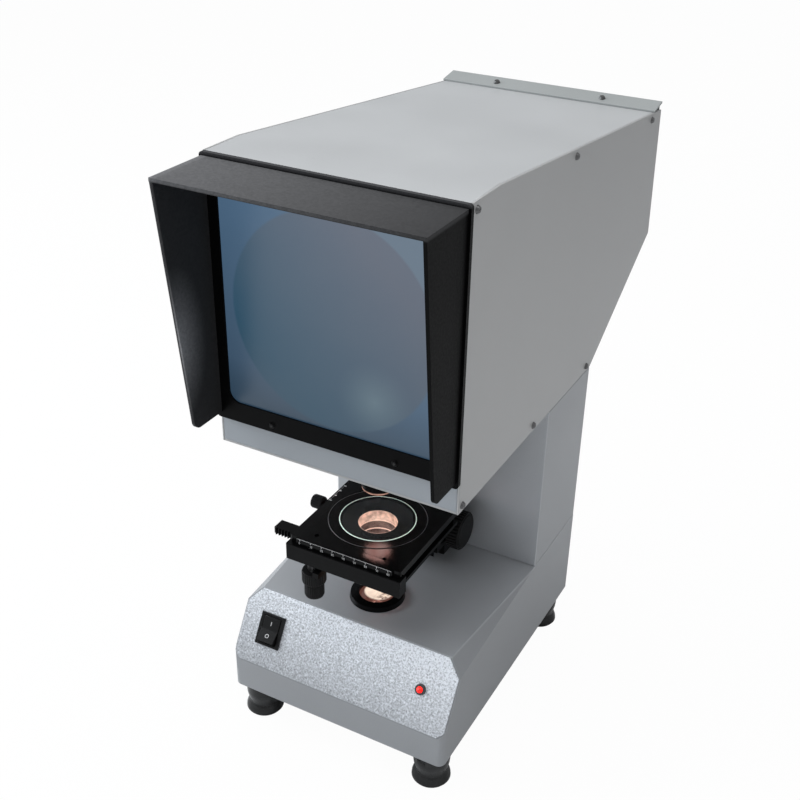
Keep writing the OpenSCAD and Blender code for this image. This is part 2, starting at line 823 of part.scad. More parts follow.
// Ribbed handwheel on the right of the lift
module lift_handwheel() {
    r = wheel_d / 2;
    color(black) translate([wheel_x, lift_y, lift_z]) rotate([0, 90, 0]) difference() {
        union() {
            cylinder(r = r - 1, h = wheel_w);
            translate([0, 0, -3]) cylinder(d = lift_shaft_d + 10, h = 3);
            translate([0, 0, wheel_w]) cylinder(r1 = r - 2, r2 = r - 3.5, h = 1.5);
            for (i = [0:wheel_ribs - 1])
                rotate(i * 360 / wheel_ribs) translate([r - 2, -0.8, 1]) cube([2, 1.6, wheel_w - 2]);
        }
        translate([0, 0, -4 - over]) cylinder(d = lift_shaft_d + 2 * run_gap / 5, h = 2 + wheel_w + over);
    }
}

cheek_wall = 6;
cheek_w = 2 * (rail_tip + cheek_wall);
x_rail_y = slide_rear_y - 7.5;
x_rail_h = 3;
light_hole_d = 58;

// Y slide: the plate over the dovetail, the channel for the rack bar and the front block
module y_slide() {
    g = slide_gap;
    cheek_gap = 0.2;
    spread = (rail_tip - rail_root) / rail_h;
    lip_half = rail_root + spread * cheek_gap + 2 * g;
    deep_half = rail_tip + spread * g + 2 * g;
    plate_front_y = bar_rear_y + g;
    color(black) difference() {
        union() {
            along_y(plate_front_y, slide_rear_y - plate_front_y) polygon([
                [-cheek_w / 2, rail_z + cheek_gap], [-cheek_w / 2, y_slide_top_z],
                [cheek_w / 2, y_slide_top_z], [cheek_w / 2, rail_z + cheek_gap],
                [lip_half, rail_z + cheek_gap], [deep_half, rail_top_z + g],
                [-deep_half, rail_top_z + g], [-lip_half, rail_z + cheek_gap]
            ]);
            translate([-cheek_w / 2, block_front_y + block_d - over, rail_top_z + g])
                cube([cheek_w, plate_front_y - block_front_y - block_d + 2 * over, bar_floor_z - rail_top_z - g]);
            translate([-block_w / 2, block_front_y, block_z]) cube([block_w, block_d, block_h]);
            along_x(cheek_w) polygon([
                [x_rail_y - 3.5, y_slide_top_z], [x_rail_y + 3.5, y_slide_top_z],
                [x_rail_y + 5, y_slide_top_z + x_rail_h], [x_rail_y - 5, y_slide_top_z + x_rail_h]
            ]);
        }
        at_axis(rail_z - over) cylinder(d = light_hole_d, h = table_t + y_slide_top_z - rail_z);
        translate([knob_x, knob_y, block_z - over])
            cylinder(d = drive_tube_d + 2 * run_gap, h = block_h + 2 * over);
        translate([knob_x, knob_y, bar_floor_z]) {
            cylinder(r = pinion_r + tooth_tip + 0.5, h = block_h);
            translate([-pinion_r - 1, 0, 0]) cube([2 * pinion_r + 2, block_d, block_h]);
        }
    }
}

clip_hole_d = 4;
clip_hole_x = 34;
corner_r = 12;
front_corner_r = 2;

// Square table with the seat of the rotary table
module x_slide() {
    g = slide_gap;
    color(black) difference() {
        union() {
            translate([0, table_front_y, table_z])
                round_plate(table_w, table_d / 2, table_t, front_corner_r);
            translate([0, table_front_y + 3 * front_corner_r, table_z])
                round_plate(table_w, table_d - 3 * front_corner_r, table_t, corner_r);
        }
        at_axis(table_top_z - rotary_t + rotary_proud) cylinder(d = rotary_d + 2 * run_gap, h = rotary_t);
        at_axis(table_z - over) cylinder(d = rotary_d - 2 * rotary_ledge, h = table_t + 2 * over);
        along_x(table_w + 2 * over) polygon([
            [x_rail_y - 3.5 - g, table_z - slide_lift], [x_rail_y + 3.5 + g, table_z - slide_lift],
            [x_rail_y + 5 + 2 * g, table_z - slide_lift + x_rail_h + g],
            [x_rail_y - 5 - 2 * g, table_z - slide_lift + x_rail_h + g]
        ]);
        for (x = [-1, 1])
            translate([x * clip_hole_x, axis_y - rotary_d / 2 - 3.5, table_top_z - 4])
                cylinder(d = clip_hole_d, h = 4 + over);
        translate([-table_w / 2 - over, axis_y, lock_z]) rotate([0, 90, 0])
            cylinder(d = lock_d + 2 * run_gap, h = table_w / 2 - rotary_d / 2 + 2 * over);
    }
}

// Bar under the table's front with the rack that the X pinion drives
module x_rack_bar() {
    left = table_w / 2 + bar_left + knob_x;
    right = table_w / 2 - 6 - knob_x;
    color(black) translate([knob_x, bar_pitch_y, bar_h]) linear_extrude(table_z - bar_h)
        rack_2d(left, right, bar_rear_y - bar_pitch_y);
}

scale_w = 96;

module scale_strip() {
    color(black) translate([-scale_w / 2, table_front_y - scale_t, table_z]) cube([scale_w, scale_t, table_t]);
}

module rotary_ring() {
    color(black) at_axis(0) rotate_extrude($fn = 96) polygon([
        [glass_d / 2 - glass_ledge, table_z + 0.3],
        [rotary_d / 2 - rotary_ledge - 0.3, table_z + 0.3],
        [rotary_d / 2 - rotary_ledge - 0.3, table_top_z - rotary_t + rotary_proud],
        [rotary_d / 2, table_top_z - rotary_t + rotary_proud],
        [rotary_d / 2, table_top_z + rotary_proud - 0.4], [rotary_d / 2 - 0.4, table_top_z + rotary_proud],
        [glass_d / 2, table_top_z + rotary_proud],
        [glass_d / 2, table_top_z + rotary_proud + glass_proud - glass_t],
        [glass_d / 2 - glass_ledge, table_top_z + rotary_proud + glass_proud - glass_t]
    ]);
}

module stage_glass() {
    r = glass_d / 2 - run_gap;
    color(clear) at_axis(table_top_z + rotary_proud + glass_proud - glass_t) {
        cylinder(r = r, h = glass_t - 0.6);
        translate([0, 0, glass_t - 0.6]) cylinder(r1 = r, r2 = r - 0.6, h = 0.6);
    }
}

// Hollow shaft of the upper drive knob with its pinion
module y_tube() {
    color(steel) translate([knob_x, knob_y, 0]) difference() {
        union() {
            translate([0, 0, y_knob_z + 1]) cylinder(d = drive_tube_d, h = y_pinion_z - 0.3 - y_knob_z - 1);
            translate([0, 0, y_pinion_z - 0.3]) linear_extrude(carrier_z - y_pinion_z + 0.6) pinion_2d();
            translate([0, 0, carrier_z + 0.3]) cylinder(d = drive_tube_d, h = bar_floor_z - 0.6 - carrier_z);
        }
        translate([0, 0, y_knob_z]) cylinder(d = drive_shaft_d + 2 * run_gap, h = bar_floor_z - y_knob_z);
    }
}

knob_ribs = 30;

// Knurled knob on the drive axis, bored for its shaft
module drive_knob(d, h, z, bore) {
    color(black) translate([knob_x, knob_y, z]) difference() {
        union() {
            cylinder(d = d - 1.2, h = h);
            for (i = [0:knob_ribs - 1])
                rotate(i * 360 / knob_ribs) translate([d / 2 - 1.4, -0.5, 1.5]) cube([1.4, 1, h - 3]);
        }
        translate([0, 0, 1]) cylinder(d = bore, h = h);
    }
}

module y_knob() {
    difference() {
        drive_knob(y_knob_d, y_knob_h, y_knob_z, drive_tube_d + 2 * run_gap / 5);
        translate([knob_x, knob_y, y_knob_z - over]) cylinder(d = drive_shaft_d + 0.6, h = y_knob_h);
    }
}

module x_shaft() {
    color(steel) translate([knob_x, knob_y, 0]) {
        translate([0, 0, x_knob_z + 1]) cylinder(d = drive_shaft_d, h = bar_h - x_knob_z - 1);
        translate([0, 0, bar_h]) linear_extrude(table_z - 0.7 - bar_h) rotate(90) pinion_2d();
    }
}

module x_knob() {
    drive_knob(x_knob_d, x_knob_h, x_knob_z, drive_shaft_d + 2 * run_gap / 5);
}

lock_d = 4;
lock_z = table_z + table_t / 2;
lock_head_d = 13;
lock_head_l = 11;
lock_ribs = 20;

// Thumb screw that clamps the rotary table
module rotary_lock() {
    shank = table_w / 2 - rotary_d / 2 - 0.3;
    color(black) translate([-table_w / 2, axis_y, lock_z]) rotate([0, 90, 0]) {
        translate([0, 0, -2]) cylinder(d = lock_d, h = shank + 2);
        translate([0, 0, -2 - lock_head_l]) cylinder(d = lock_head_d - 1, h = lock_head_l);
        for (i = [0:lock_ribs - 1])
            rotate(i * 360 / lock_ribs) translate([lock_head_d / 2 - 1, -0.5, -1 - lock_head_l])
                cube([1, 1, lock_head_l - 2]);
    }
}

flange_h = 14;
screw_d = 3;
screw_head_d = 6.5;
screw_head_h = 2;
screw_edge = 6;
roof_screw_mid = 193;
floor_screw_mid = 146;

// Screw places on a side panel: along the roof, and along the underside
side_screws = concat(
    [
        for (y = [head_front_y + screw_edge, head_front_y + roof_screw_mid, lip_front_y - screw_edge])
            [y, roof_z(y) - screw_edge]
    ],
    [
        for (y = [head_front_y + screw_edge, head_front_y + floor_screw_mid, base_rear_y - 2 * screw_edge])
            [y, head_bottom_z + screw_edge]
    ]
);
lip_screw_x = head_w / 4;
lip_screw_y = lip_front_y + lip_d / 2 - 2;
lip_angle = atan2(lip_rise, lip_d);

module at_side_screws() {
    for (side = [-1, 1], q = side_screws)
        translate([side * head_w / 2, q[0], q[1]]) rotate([0, side * 90, 0]) children();
}

module at_lip_screws() {
    for (x = [-1, 1])
        translate([x * lip_screw_x, lip_screw_y, lip_z + (lip_screw_y - lip_front_y) * lip_rise / lip_d])
            rotate([lip_angle, 0, 0]) children();
}

module screw_holes() {
    at_side_screws() translate([0, 0, -4 * sheet_t]) cylinder(d = screw_d + 2 * seat_gap, h = 5 * sheet_t);
}

module side_panel(side) {
    color(grey) difference() {
        translate([side * (head_w - sheet_t) / 2, 0, 0]) along_x(sheet_t) polygon([
            [head_front_y, head_bottom_z], [base_rear_y, head_bottom_z], [head_rear_y, rear_corner_z],
            [wall_top_y, wall_top_z], [head_front_y + roof_flat, head_top_z], [head_front_y, head_top_z]
        ]);
        screw_holes();
    }
}

module head_left_panel() side_panel(-1);
module head_right_panel() side_panel(1);

// A band of sheet under the roof line, h deep
module roof_band(h) {
    polygon([
        [head_front_y, head_top_z], [head_front_y + roof_flat, head_top_z], [wall_top_y - sheet_t, roof_z(wall_top_y - sheet_t)],
        [wall_top_y - sheet_t, roof_z(wall_top_y - sheet_t) - h], [head_front_y + roof_flat, head_top_z - h],
        [head_front_y, head_top_z - h]
    ]);
}

module head_top_cover() {
    color(grey) difference() {
        union() {
            along_x(inner_w) roof_band(sheet_t);
            for (side = [-1, 1])
                translate([side * (inner_w - sheet_t) / 2, 0, 0]) along_x(sheet_t) intersection() {
                    roof_band(flange_h);
                    translate([head_front_y + sheet_t, 0]) square([lip_front_y - head_front_y, 2 * head_top_z]);
                }
        }
        screw_holes();
        at_lip_screws() translate([0, 0, -4 * sheet_t]) cylinder(d = screw_d + 2 * seat_gap, h = 6 * sheet_t);
    }
}

// Sheet behind the screen with its window
module head_front_frame() {
    color(grey) difference() {
        translate([-inner_w / 2, head_front_y, head_bottom_z + sheet_t]) cube([inner_w, sheet_t, head_h - 2 * sheet_t]);
        translate([-screen_w / 2 + screen_seat, head_front_y - over, screen_bottom_z + screen_seat])
            cube([screen_w - 2 * screen_seat, sheet_t + 2 * over, screen_h - 2 * screen_seat]);
        at_bezel_screws() translate([0, 0, -over]) cylinder(d = screw_d + 2 * seat_gap, h = bezel_t + sheet_t + 2 * over);
    }
}

objective_stub_d = objective_bore + 6;

// Underside sheet: flat over the column, then sloping up to the rear wall
module head_floor() {
    slope = rear_rise / (head_rear_y - base_rear_y);
    inner_rear_y = head_rear_y - 2 * sheet_t;
    color(grey) difference() {
        union() {
            along_x(inner_w) polygon([
                [head_front_y, head_bottom_z], [base_rear_y, head_bottom_z],
                [inner_rear_y, head_bottom_z + slope * (inner_rear_y - base_rear_y)],
                [inner_rear_y, head_bottom_z + slope * (inner_rear_y - base_rear_y) + sheet_t],
                [base_rear_y, head_bottom_z + sheet_t], [head_front_y, head_bottom_z + sheet_t]
            ]);
            for (side = [-1, 1])
                translate([side * (inner_w - sheet_t) / 2 - sheet_t / 2, head_front_y + sheet_t, head_bottom_z])
                    cube([sheet_t, base_rear_y - head_front_y - 2 * sheet_t, flange_h]);
        }
        at_axis(head_bottom_z - over) cylinder(d = objective_stub_d + 2 * seat_gap, h = sheet_t + 2 * over);
        screw_holes();
    }
}

// Leaning rear wall with the lip that is screwed down on the roof
module rear_cover() {
    lip_w = head_w;
    lip_rear_z = lip_z + lip_rise;
    color(grey) difference() {
        union() {
            along_x(inner_w) polygon([
                [head_rear_y - 2 * sheet_t, rear_corner_z - 2 * sheet_t * rear_rise / (head_rear_y - base_rear_y)],
                [head_rear_y, rear_corner_z], [wall_top_y, wall_top_z], [wall_top_y, lip_rear_z],
                [wall_top_y - sheet_t, lip_rear_z], [wall_top_y - sheet_t, wall_top_z],
                [head_rear_y - 2 * sheet_t, rear_corner_z + sheet_t]
            ]);
            along_x(lip_w) polygon([
                [lip_front_y, lip_z], [wall_top_y, lip_rear_z - sheet_t + lip_rise / 5],
                [wall_top_y, lip_rear_z + sheet_t / 2], [lip_front_y, lip_z + sheet_t]
            ]);
        }
        at_lip_screws() translate([0, 0, -2 * sheet_t]) cylinder(d = screw_d + 2 * seat_gap, h = 6 * sheet_t);
    }
}

module pan_screw(length) {
    cylinder(d1 = screw_head_d, d2 = screw_head_d - 2, h = screw_head_h);
    translate([0, 0, -length]) cylinder(d = screw_d, h = length);
}

module cover_screws() {
    color(steel) {
        at_side_screws() pan_screw(3 * sheet_t);
        at_lip_screws() translate([0, 0, sheet_t * cos(lip_angle)]) pan_screw(4 * sheet_t);
    }
}

bezel_corner_r = 3;
screen_corner_r = 10;
bezel_screw_x = bezel_w / 4 + 1;
bezel_screw_edge = 6.5;

module at_bezel_screws() {
    for (x = [-1, 1], z = [bezel_bottom_z + bezel_screw_edge, head_top_z - bezel_screw_edge - hood_t - 6])
        translate([x * bezel_screw_x, bezel_front_y, z]) rotate([-90, 0, 0]) children();
}

module upright_plate(w, h, t, r) {
    rotate([90, 0, 0]) translate([0, 0, -t]) round_plate(w, h, t, r);
}

// Black frame that holds the ground glass in a rebate
module screen_bezel() {
    lip = bezel_t - screen_t;
    color(black) difference() {
        translate([0, bezel_front_y, bezel_bottom_z]) upright_plate(bezel_w, head_top_z - bezel_bottom_z, bezel_t, bezel_corner_r);
        translate([0, bezel_front_y - over, screen_bottom_z]) upright_plate(screen_w, screen_h, bezel_t + 2 * over, screen_corner_r);
        translate([-screen_w / 2 - screen_seat, bezel_front_y + lip, screen_bottom_z - screen_seat])
            cube([screen_w + 2 * screen_seat, bezel_t, screen_h + 2 * screen_seat]);
        at_bezel_screws() translate([0, 0, -over]) cylinder(d = screw_d + 2 * seat_gap, h = bezel_t + 2 * over);
    }
}

module bezel_screws() {
    color(black) at_bezel_screws() {
        translate([0, 0, -1.6]) cylinder(d1 = screw_head_d - 2.5, d2 = screw_head_d - 1, h = 1.6);
        cylinder(d = screw_d, h = bezel_t + sheet_t + 1);
    }
}

module screen_glass() {
    w = screen_w + 2 * screen_seat - 2 * seat_gap;
    h = screen_h + 2 * screen_seat - 2 * seat_gap;
    color([0.35, 0.45, 0.52]) translate([-w / 2, head_front_y - screen_t + seat_gap / 2, screen_bottom_z - screen_seat + seat_gap])
        cube([w, screen_t - seat_gap / 2, h]);
}

hood_drop = 3;
hood_gap_z = 5;
hood_corner_r = 8;

// Folded hood: a level top and two wings that narrow to a rounded foot
module hood() {
    top = head_top_z - hood_drop;
    foot_z = bezel_bottom_z + hood_gap_z;
    lean = (hood_reach - hood_foot) / (top - foot_z);
    turn = atan(lean);
    foot_y = bezel_front_y - hood_foot;
    corner_y = foot_y + hood_corner_r * tan(45 - turn / 2);
    color(black) {
        translate([-hood_w / 2, bezel_front_y - hood_reach, top - hood_t]) cube([hood_w, hood_reach, hood_t]);
        // Fold that carries each wing from the top sheet
        for (side = [-1, 1])
            translate([side * (hood_w - hood_t) / 2, 0, 0]) along_x(hood_t) polygon([
                [bezel_front_y, top - 1.5 * hood_t], [bezel_front_y, top - hood_t / 2],
                [bezel_front_y - hood_reach + hood_t, top - hood_t / 2],
                [bezel_front_y - hood_reach + hood_t, top - 1.5 * hood_t]
            ]);
        for (side = [-1, 1])
            translate([side * (hood_w - hood_t) / 2, 0, 0]) along_x(hood_t) difference() {
                polygon([
                    [bezel_front_y, foot_z], [bezel_front_y, top - hood_t],
                    [bezel_front_y - hood_reach + lean * hood_t, top - hood_t], [foot_y, foot_z]
                ]);
                difference() {
                    translate([foot_y - hood_corner_r, foot_z - over])
                        square([corner_y - foot_y + hood_corner_r, hood_corner_r * (1 + sin(turn)) - hood_corner_r * 2 * sin(turn) + over]);
                    translate([corner_y, foot_z + hood_corner_r]) circle(r = hood_corner_r);
                }
            }
    }
}

objective_nose_d = objective_bore + 5;

// Objective with a stepped nose, flanged against the head's underside
module objective_barrel() {
    r = objective_bore / 2;
    rim_z = head_bottom_z - objective_l;
    color(black) at_axis(0) rotate_extrude() polygon([
        [r, rim_z], [objective_nose_d / 2 - 0.8, rim_z], [objective_nose_d / 2, rim_z + 0.8],
        [objective_nose_d / 2, rim_z + 10], [objective_d / 2, rim_z + 16],
        [objective_d / 2, head_bottom_z - 6], [objective_d / 2 + 6, head_bottom_z - 6],
        [objective_d / 2 + 6, head_bottom_z], [objective_stub_d / 2, head_bottom_z],
        [objective_stub_d / 2, head_bottom_z + 12], [r - 1, head_bottom_z + 12],
        [r - 1, rim_z + 7], [r, rim_z + 7]
    ]);
}

// Lens with two domed faces, r wide, at the origin
module domed_lens(r, edge, rise) {
    ball = (r * r + rise * rise) / (2 * rise);
    intersection() {
        cylinder(r = r, h = edge + 2 * rise);
        translate([0, 0, ball]) sphere(r = ball, $fn = 128);
        translate([0, 0, edge + 2 * rise - ball]) sphere(r = ball, $fn = 128);
    }
}

module objective_lens() {
    color(clear) at_axis(head_bottom_z - objective_l + 1) domed_lens(objective_bore / 2 - run_gap, 2, 2);
}

tube_h = 44;
tube_r = objective_stub_d / 2 + 6;
lens_seat_h = 10;

// Tube of the projection lens, standing on the underside sheet
module lens_tube() {
    color(black) at_axis(head_bottom_z + sheet_t) difference() {
        union() {
            cylinder(r = tube_r, h = tube_h);
            cylinder(r = tube_r + 2, h = 4);
        }
        translate([0, 0, -over]) cylinder(r = objective_stub_d / 2 + seat_gap, h = tube_h + 2 * over);
        translate([0, 0, tube_h - lens_seat_h]) cylinder(r = tube_r - 3, h = lens_seat_h + over);
    }
}

module projection_lens() {
    color(clear) at_axis(head_bottom_z + sheet_t + tube_h - lens_seat_h) domed_lens(tube_r - 3 - run_gap, 2, 3);
}

fold_w = 60;
fold_l = 66;
bracket_t = 3;

module on_fold() {
    translate([0, axis_y, fold_z]) rotate([fold_tilt, 0, 0]) children();
}

module fold_mirror() {
    color(clear) on_fold() translate([-fold_w / 2, -fold_l / 2, 0]) cube([fold_w, fold_l, mirror_t]);
}

// Bent bracket: a foot on the underside sheet, an upright and the bed behind the mirror
module fold_bracket() {
    bed_low_y = axis_y - fold_l / 2 * cos(fold_tilt) - mirror_t * sin(fold_tilt);
    bed_low_z = fold_z - fold_l / 2 * sin(fold_tilt) + mirror_t * cos(fold_tilt);
    upright_y = bed_low_y - bracket_t;
    floor_z = head_bottom_z + sheet_t;
    color(steel) along_x(fold_w) {
        translate([axis_y, fold_z]) rotate(fold_tilt) translate([-fold_l / 2, mirror_t]) square([fold_l, bracket_t]);
        translate([upright_y, floor_z]) square([bracket_t - 0.2, bed_low_z - floor_z + 0.8 * bracket_t]);
        translate([upright_y - 20, floor_z]) square([20 + bracket_t / 2, bracket_t]);
    }
}

// Rear mirror on its backing plate, with three posts to the rear wall
module rear_mirror() {
    post_d = 8;
    post_inset = 12;
    post_l = 30;
    color(clear) intersection() {
        translate([0, rear_mirror_y, screen_mid_z]) rotate([beam_rise / 2, 0, 0]) {
            translate([-rear_mirror_w / 2, 0, -rear_mirror_h / 2]) cube([rear_mirror_w, mirror_t, rear_mirror_h]);
            for (q = [[-1, -1], [1, -1], [0, 1]])
                translate([q[0] * (rear_mirror_w / 2 - post_inset), 0, q[1] * (rear_mirror_h / 2 - post_inset)])
                    rotate([-90, 0, 0]) cylinder(d = post_d, h = post_l);
        }
        along_x(head_w) polygon([
            [axis_y, head_bottom_z], [head_rear_y - 2 * sheet_t, head_bottom_z],
            [head_rear_y - 2 * sheet_t, rear_corner_z + sheet_t], [wall_top_y - sheet_t, wall_top_z],
            [axis_y, wall_top_z]
        ]);
    }
}

base_shell();
column_shell();
bottom_plate();
foot_front_left();
foot_front_right();
foot_rear_left();
foot_rear_right();
foot_screws();
front_panel();
switch_frame();
switch_rocker();
led_holder();
led_lens();
condenser_ring();
condenser_lens();
lamp_housing();
lamp_socket();
lamp_bulb();
lamp_mirror_block();
lamp_mirror();
transformer_core();
transformer_coil();
power_inlet();
lift_body();
stage_carrier();
lift_rack();
stage_base_plate();
light_tube();
y_rack();
lift_shaft();
lift_handwheel();
y_slide();
x_slide();
x_rack_bar();
scale_strip();
rotary_ring();
stage_glass();
y_tube();
y_knob();
x_shaft();
x_knob();
rotary_lock();
head_left_panel();
head_right_panel();
head_top_cover();
head_front_frame();
head_floor();
rear_cover();
cover_screws();
screen_bezel();
bezel_screws();
hood();
screen_glass();
objective_barrel();
objective_lens();
lens_tube();
projection_lens();
fold_bracket();
fold_mirror();
rear_mirror();
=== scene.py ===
import json
from math import atan2, cos, pi, radians, sin

import bmesh
import bpy
from mathutils import Matrix, Vector

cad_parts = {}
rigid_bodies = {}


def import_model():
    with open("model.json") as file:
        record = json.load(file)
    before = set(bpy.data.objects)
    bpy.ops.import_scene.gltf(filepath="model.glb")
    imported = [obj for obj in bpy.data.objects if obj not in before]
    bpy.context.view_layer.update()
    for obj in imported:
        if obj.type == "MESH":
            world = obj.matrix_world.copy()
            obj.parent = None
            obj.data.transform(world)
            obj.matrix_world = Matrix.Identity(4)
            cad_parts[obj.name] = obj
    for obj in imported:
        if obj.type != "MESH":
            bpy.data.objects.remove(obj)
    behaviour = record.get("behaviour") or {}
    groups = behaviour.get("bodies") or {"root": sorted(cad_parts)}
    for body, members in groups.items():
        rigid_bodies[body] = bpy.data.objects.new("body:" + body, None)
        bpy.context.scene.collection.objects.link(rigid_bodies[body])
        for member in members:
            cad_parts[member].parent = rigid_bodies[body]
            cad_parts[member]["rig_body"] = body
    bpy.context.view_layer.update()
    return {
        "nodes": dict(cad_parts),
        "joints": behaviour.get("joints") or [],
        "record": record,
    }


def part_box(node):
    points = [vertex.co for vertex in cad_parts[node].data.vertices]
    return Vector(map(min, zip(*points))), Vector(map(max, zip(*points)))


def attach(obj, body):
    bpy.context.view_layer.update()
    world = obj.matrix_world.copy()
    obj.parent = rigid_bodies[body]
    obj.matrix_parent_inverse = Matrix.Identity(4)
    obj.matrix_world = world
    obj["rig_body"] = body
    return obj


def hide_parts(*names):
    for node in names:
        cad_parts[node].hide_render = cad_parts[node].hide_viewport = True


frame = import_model()


# Base and column.
# Two folded and welded sheet boxes, the column screwed on the base, in satin grey paint
# with softly rounded folds. The paint has a fine orange-peel skin and drifts a little in tone.
MM = 0.001
BLACK = (0.0, 0.0, 0.0, 1.0)


class Field:
    """A varying value of a material. Arithmetic on fields makes Math nodes."""

    def __init__(self, tree, socket):
        self.tree = tree
        self.socket = socket

    def put(self, value, socket):
        if isinstance(value, Field):
            self.tree.links.new(value.socket, socket)
        else:
            socket.default_value = value

    def math(self, operation, first, second):
        made = self.tree.nodes.new("ShaderNodeMath")
        made.operation = operation
        self.put(first, made.inputs[0])
        self.put(second, made.inputs[1])
        return Field(self.tree, made.outputs[0])

    def __add__(self, other):
        return self.math("ADD", self, other)

    def __sub__(self, other):
        return self.math("SUBTRACT", self, other)

    def __mul__(self, other):
        return self.math("MULTIPLY", self, other)

    def __pow__(self, other):
        return self.math("POWER", self, other)

    def node(self, kind, output, inputs, **settings):
        made = self.tree.nodes.new(kind)
        for key, value in settings.items():
            setattr(made, key, value)
        for key, value in inputs.items():
            self.put(value, made.inputs[key])
        return Field(self.tree, made.outputs[output])

    def noise(self, scale, detail=2.0):
        inputs = {"Vector": self, "Scale": scale, "Detail": detail}
        return self.node("ShaderNodeTexNoise", 0, inputs)

    def span(self, low, high, start=0.0, end=1.0):
        inputs = {"Value": self, "From Min": low, "From Max": high, "To Min": start, "To Max": end}
        return self.node("ShaderNodeMapRange", 0, inputs)

    def band(self, start, full, fade, end):
        return self.span(start, full) * self.span(end, fade)

    def mix(self, first, second):
        inputs = {0: self, 6: first, 7: second}
        return self.node("ShaderNodeMix", 2, inputs, data_type="RGBA")

    def axis(self, name):
        return self.node("ShaderNodeSeparateXYZ", name, {0: self})


class Finish:
    """A procedural finish on Object coordinates around one Principled shader."""

    def __init__(self, name, **inputs):
        self.material = bpy.data.materials.new(name)
        self.material.use_nodes = True
        tree = self.material.node_tree
        self.shader = tree.nodes["Principled BSDF"]
        place = tree.nodes.new("ShaderNodeTexCoord")
        self.at = Field(tree, place.outputs["Object"])
        self.set(**inputs)

    def set(self, **inputs):
        for key, value in inputs.items():
            self.at.put(value, self.shader.inputs[key.replace("_", " ")])

    def bump(self, height, strength, depth):
        inputs = {"Height": height, "Strength": strength, "Distance": depth}
        self.set(Normal=self.at.node("ShaderNodeBump", 0, inputs))


def shade(level, tint=(1.0, 1.0, 1.0)):
    """A grey, or a tint of that level, as an opaque colour."""
    return tuple(level * part for part in tint) + (1.0,)


DRIFT, SPECK, PEEL = 9.0, 2600.0, 700.0


def paint(name, level, tint, metallic, painted_light=None):
    """Satin paint. A face made paler with painted light is given as its axis, two places along it and
    the gain there.
    """
    coat = Finish(name, Metallic=metallic, Coat_Weight=0.15)
    drift = coat.at.noise(DRIFT, 3.0)
    speck = coat.at.noise(SPECK, 1.0)
    tone = (drift * 0.6 + speck * 0.4).span(0.3, 0.7, level * 0.93, level * 1.07)
    if painted_light:
        axis, start, end, gain = painted_light
        tone = tone * coat.at.axis(axis).span(start, end, 1.0, gain)
    coat.set(Base_Color=tone.mix(BLACK, tint + (1.0,)))
    coat.set(Roughness=drift.span(0.3, 0.7, 0.36, 0.46))
    coat.bump(coat.at.noise(PEEL, 2.0), 0.12, 0.0002)
    return coat.material


slots = {row["node"]: row["material_slot"] for row in frame["record"]["subparts"]}
WELD = 2e-6
FLAT_TURN = radians(0.4)
HARD_TURN = radians(20.0)


def dress(node, material, width=0.0, longer=6.0, segments=2, sharp=35.0):
    """Stands a merged copy of a CAD node in for it, with its long hard edges rounded off."""
    source = frame["nodes"][node]
    shape = bmesh.new()
    shape.from_mesh(source.data)
    bmesh.ops.remove_doubles(shape, verts=shape.verts, dist=WELD)
    bmesh.ops.dissolve_limit(shape, angle_limit=FLAT_TURN, verts=shape.verts, edges=shape.edges)
    if width:
        hard = [
            edge for edge in shape.edges
            if len(edge.link_faces) == 2 and edge.calc_length() > longer * MM
            and edge.calc_face_angle() > HARD_TURN
        ]
        bmesh.ops.bevel(
            shape, geom=hard, offset=width * MM, offset_type="OFFSET", affect="EDGES",
            segments=segments, profile=0.5, material=-1, clamp_overlap=True,
        )
    bmesh.ops.recalc_face_normals(shape, faces=shape.faces)
    mesh = bpy.data.meshes.new(node + "_dressed")
    shape.to_mesh(mesh)
    shape.free()
    return place(node + "_dressed", mesh, material, source["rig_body"], slots[node], sharp, node)


def soften(mesh):
    """Gives each corner the mean normal, by area, of the faces that soft edges join there."""
    shape = bmesh.new()
    shape.from_mesh(mesh)
    shape.normal_update()
    for i, corner in enumerate(corner for face in shape.faces for corner in face.loops):
        corner.index = i
    normals = [None] * len(mesh.loops)
    for vert in shape.verts:
        left = list(vert.link_loops)
        while left:
            fan = [left.pop()]
            for corner in fan:
                soft = {edge for edge in (corner.edge, corner.link_loop_prev.edge) if edge.smooth}
                joined = [
                    other for other in left
                    if other.edge in soft or other.link_loop_prev.edge in soft
                ]
                fan += joined
                left = [other for other in left if other not in joined]
            mean = sum((corner.face.normal * corner.face.calc_area() for corner in fan), Vector())
            for corner in fan:
                normals[corner.index] = mean.normalized()
    shape.free()
    mesh.normals_split_custom_set(normals)


def place(name, mesh, material, body, slot, sharp=35.0, node=None):
    """Puts a finished mesh into the scene on its body."""
    mesh.materials.clear()
    mesh.materials.append(material)
    for face in mesh.polygons:
        face.use_smooth = True
        face.material_index = 0
    mesh.set_sharp_from_angle(angle=radians(sharp))
    soften(mesh)
    piece = bpy.data.objects.new(name, mesh)
    bpy.context.scene.collection.objects.link(piece)
    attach(piece, body)
    if node:
        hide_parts(node)
    return piece


STAND_GREY = 0.335
STAND_TINT = (0.95, 0.98, 1.02)
STAND_FLAKE = 0.25
# The base's top and the column's front are painted paler than the rest: painted light where the light
# falls on them.
SKIN_START, SKIN_END = 1.4 * MM, 0.4 * MM
TOP_LIGHT_GAIN, FRONT_LIGHT_GAIN = 1.3, 1.4
base_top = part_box("base_shell")[1].z
column_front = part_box("column_shell")[0].y
painted_light_top = ("Z", base_top - SKIN_START, base_top - SKIN_END, TOP_LIGHT_GAIN)
painted_light_front = ("Y", column_front + SKIN_START, column_front + SKIN_END, FRONT_LIGHT_GAIN)
base_paint = paint("base_paint", STAND_GREY, STAND_TINT, STAND_FLAKE, painted_light_top)
column_paint = paint("column_paint", STAND_GREY, STAND_TINT, STAND_FLAKE, painted_light_front)
dress("base_shell", base_paint, width=1.2, longer=10.0, segments=3)
dress("column_shell", column_paint, width=1.0, longer=60.0, segments=3)


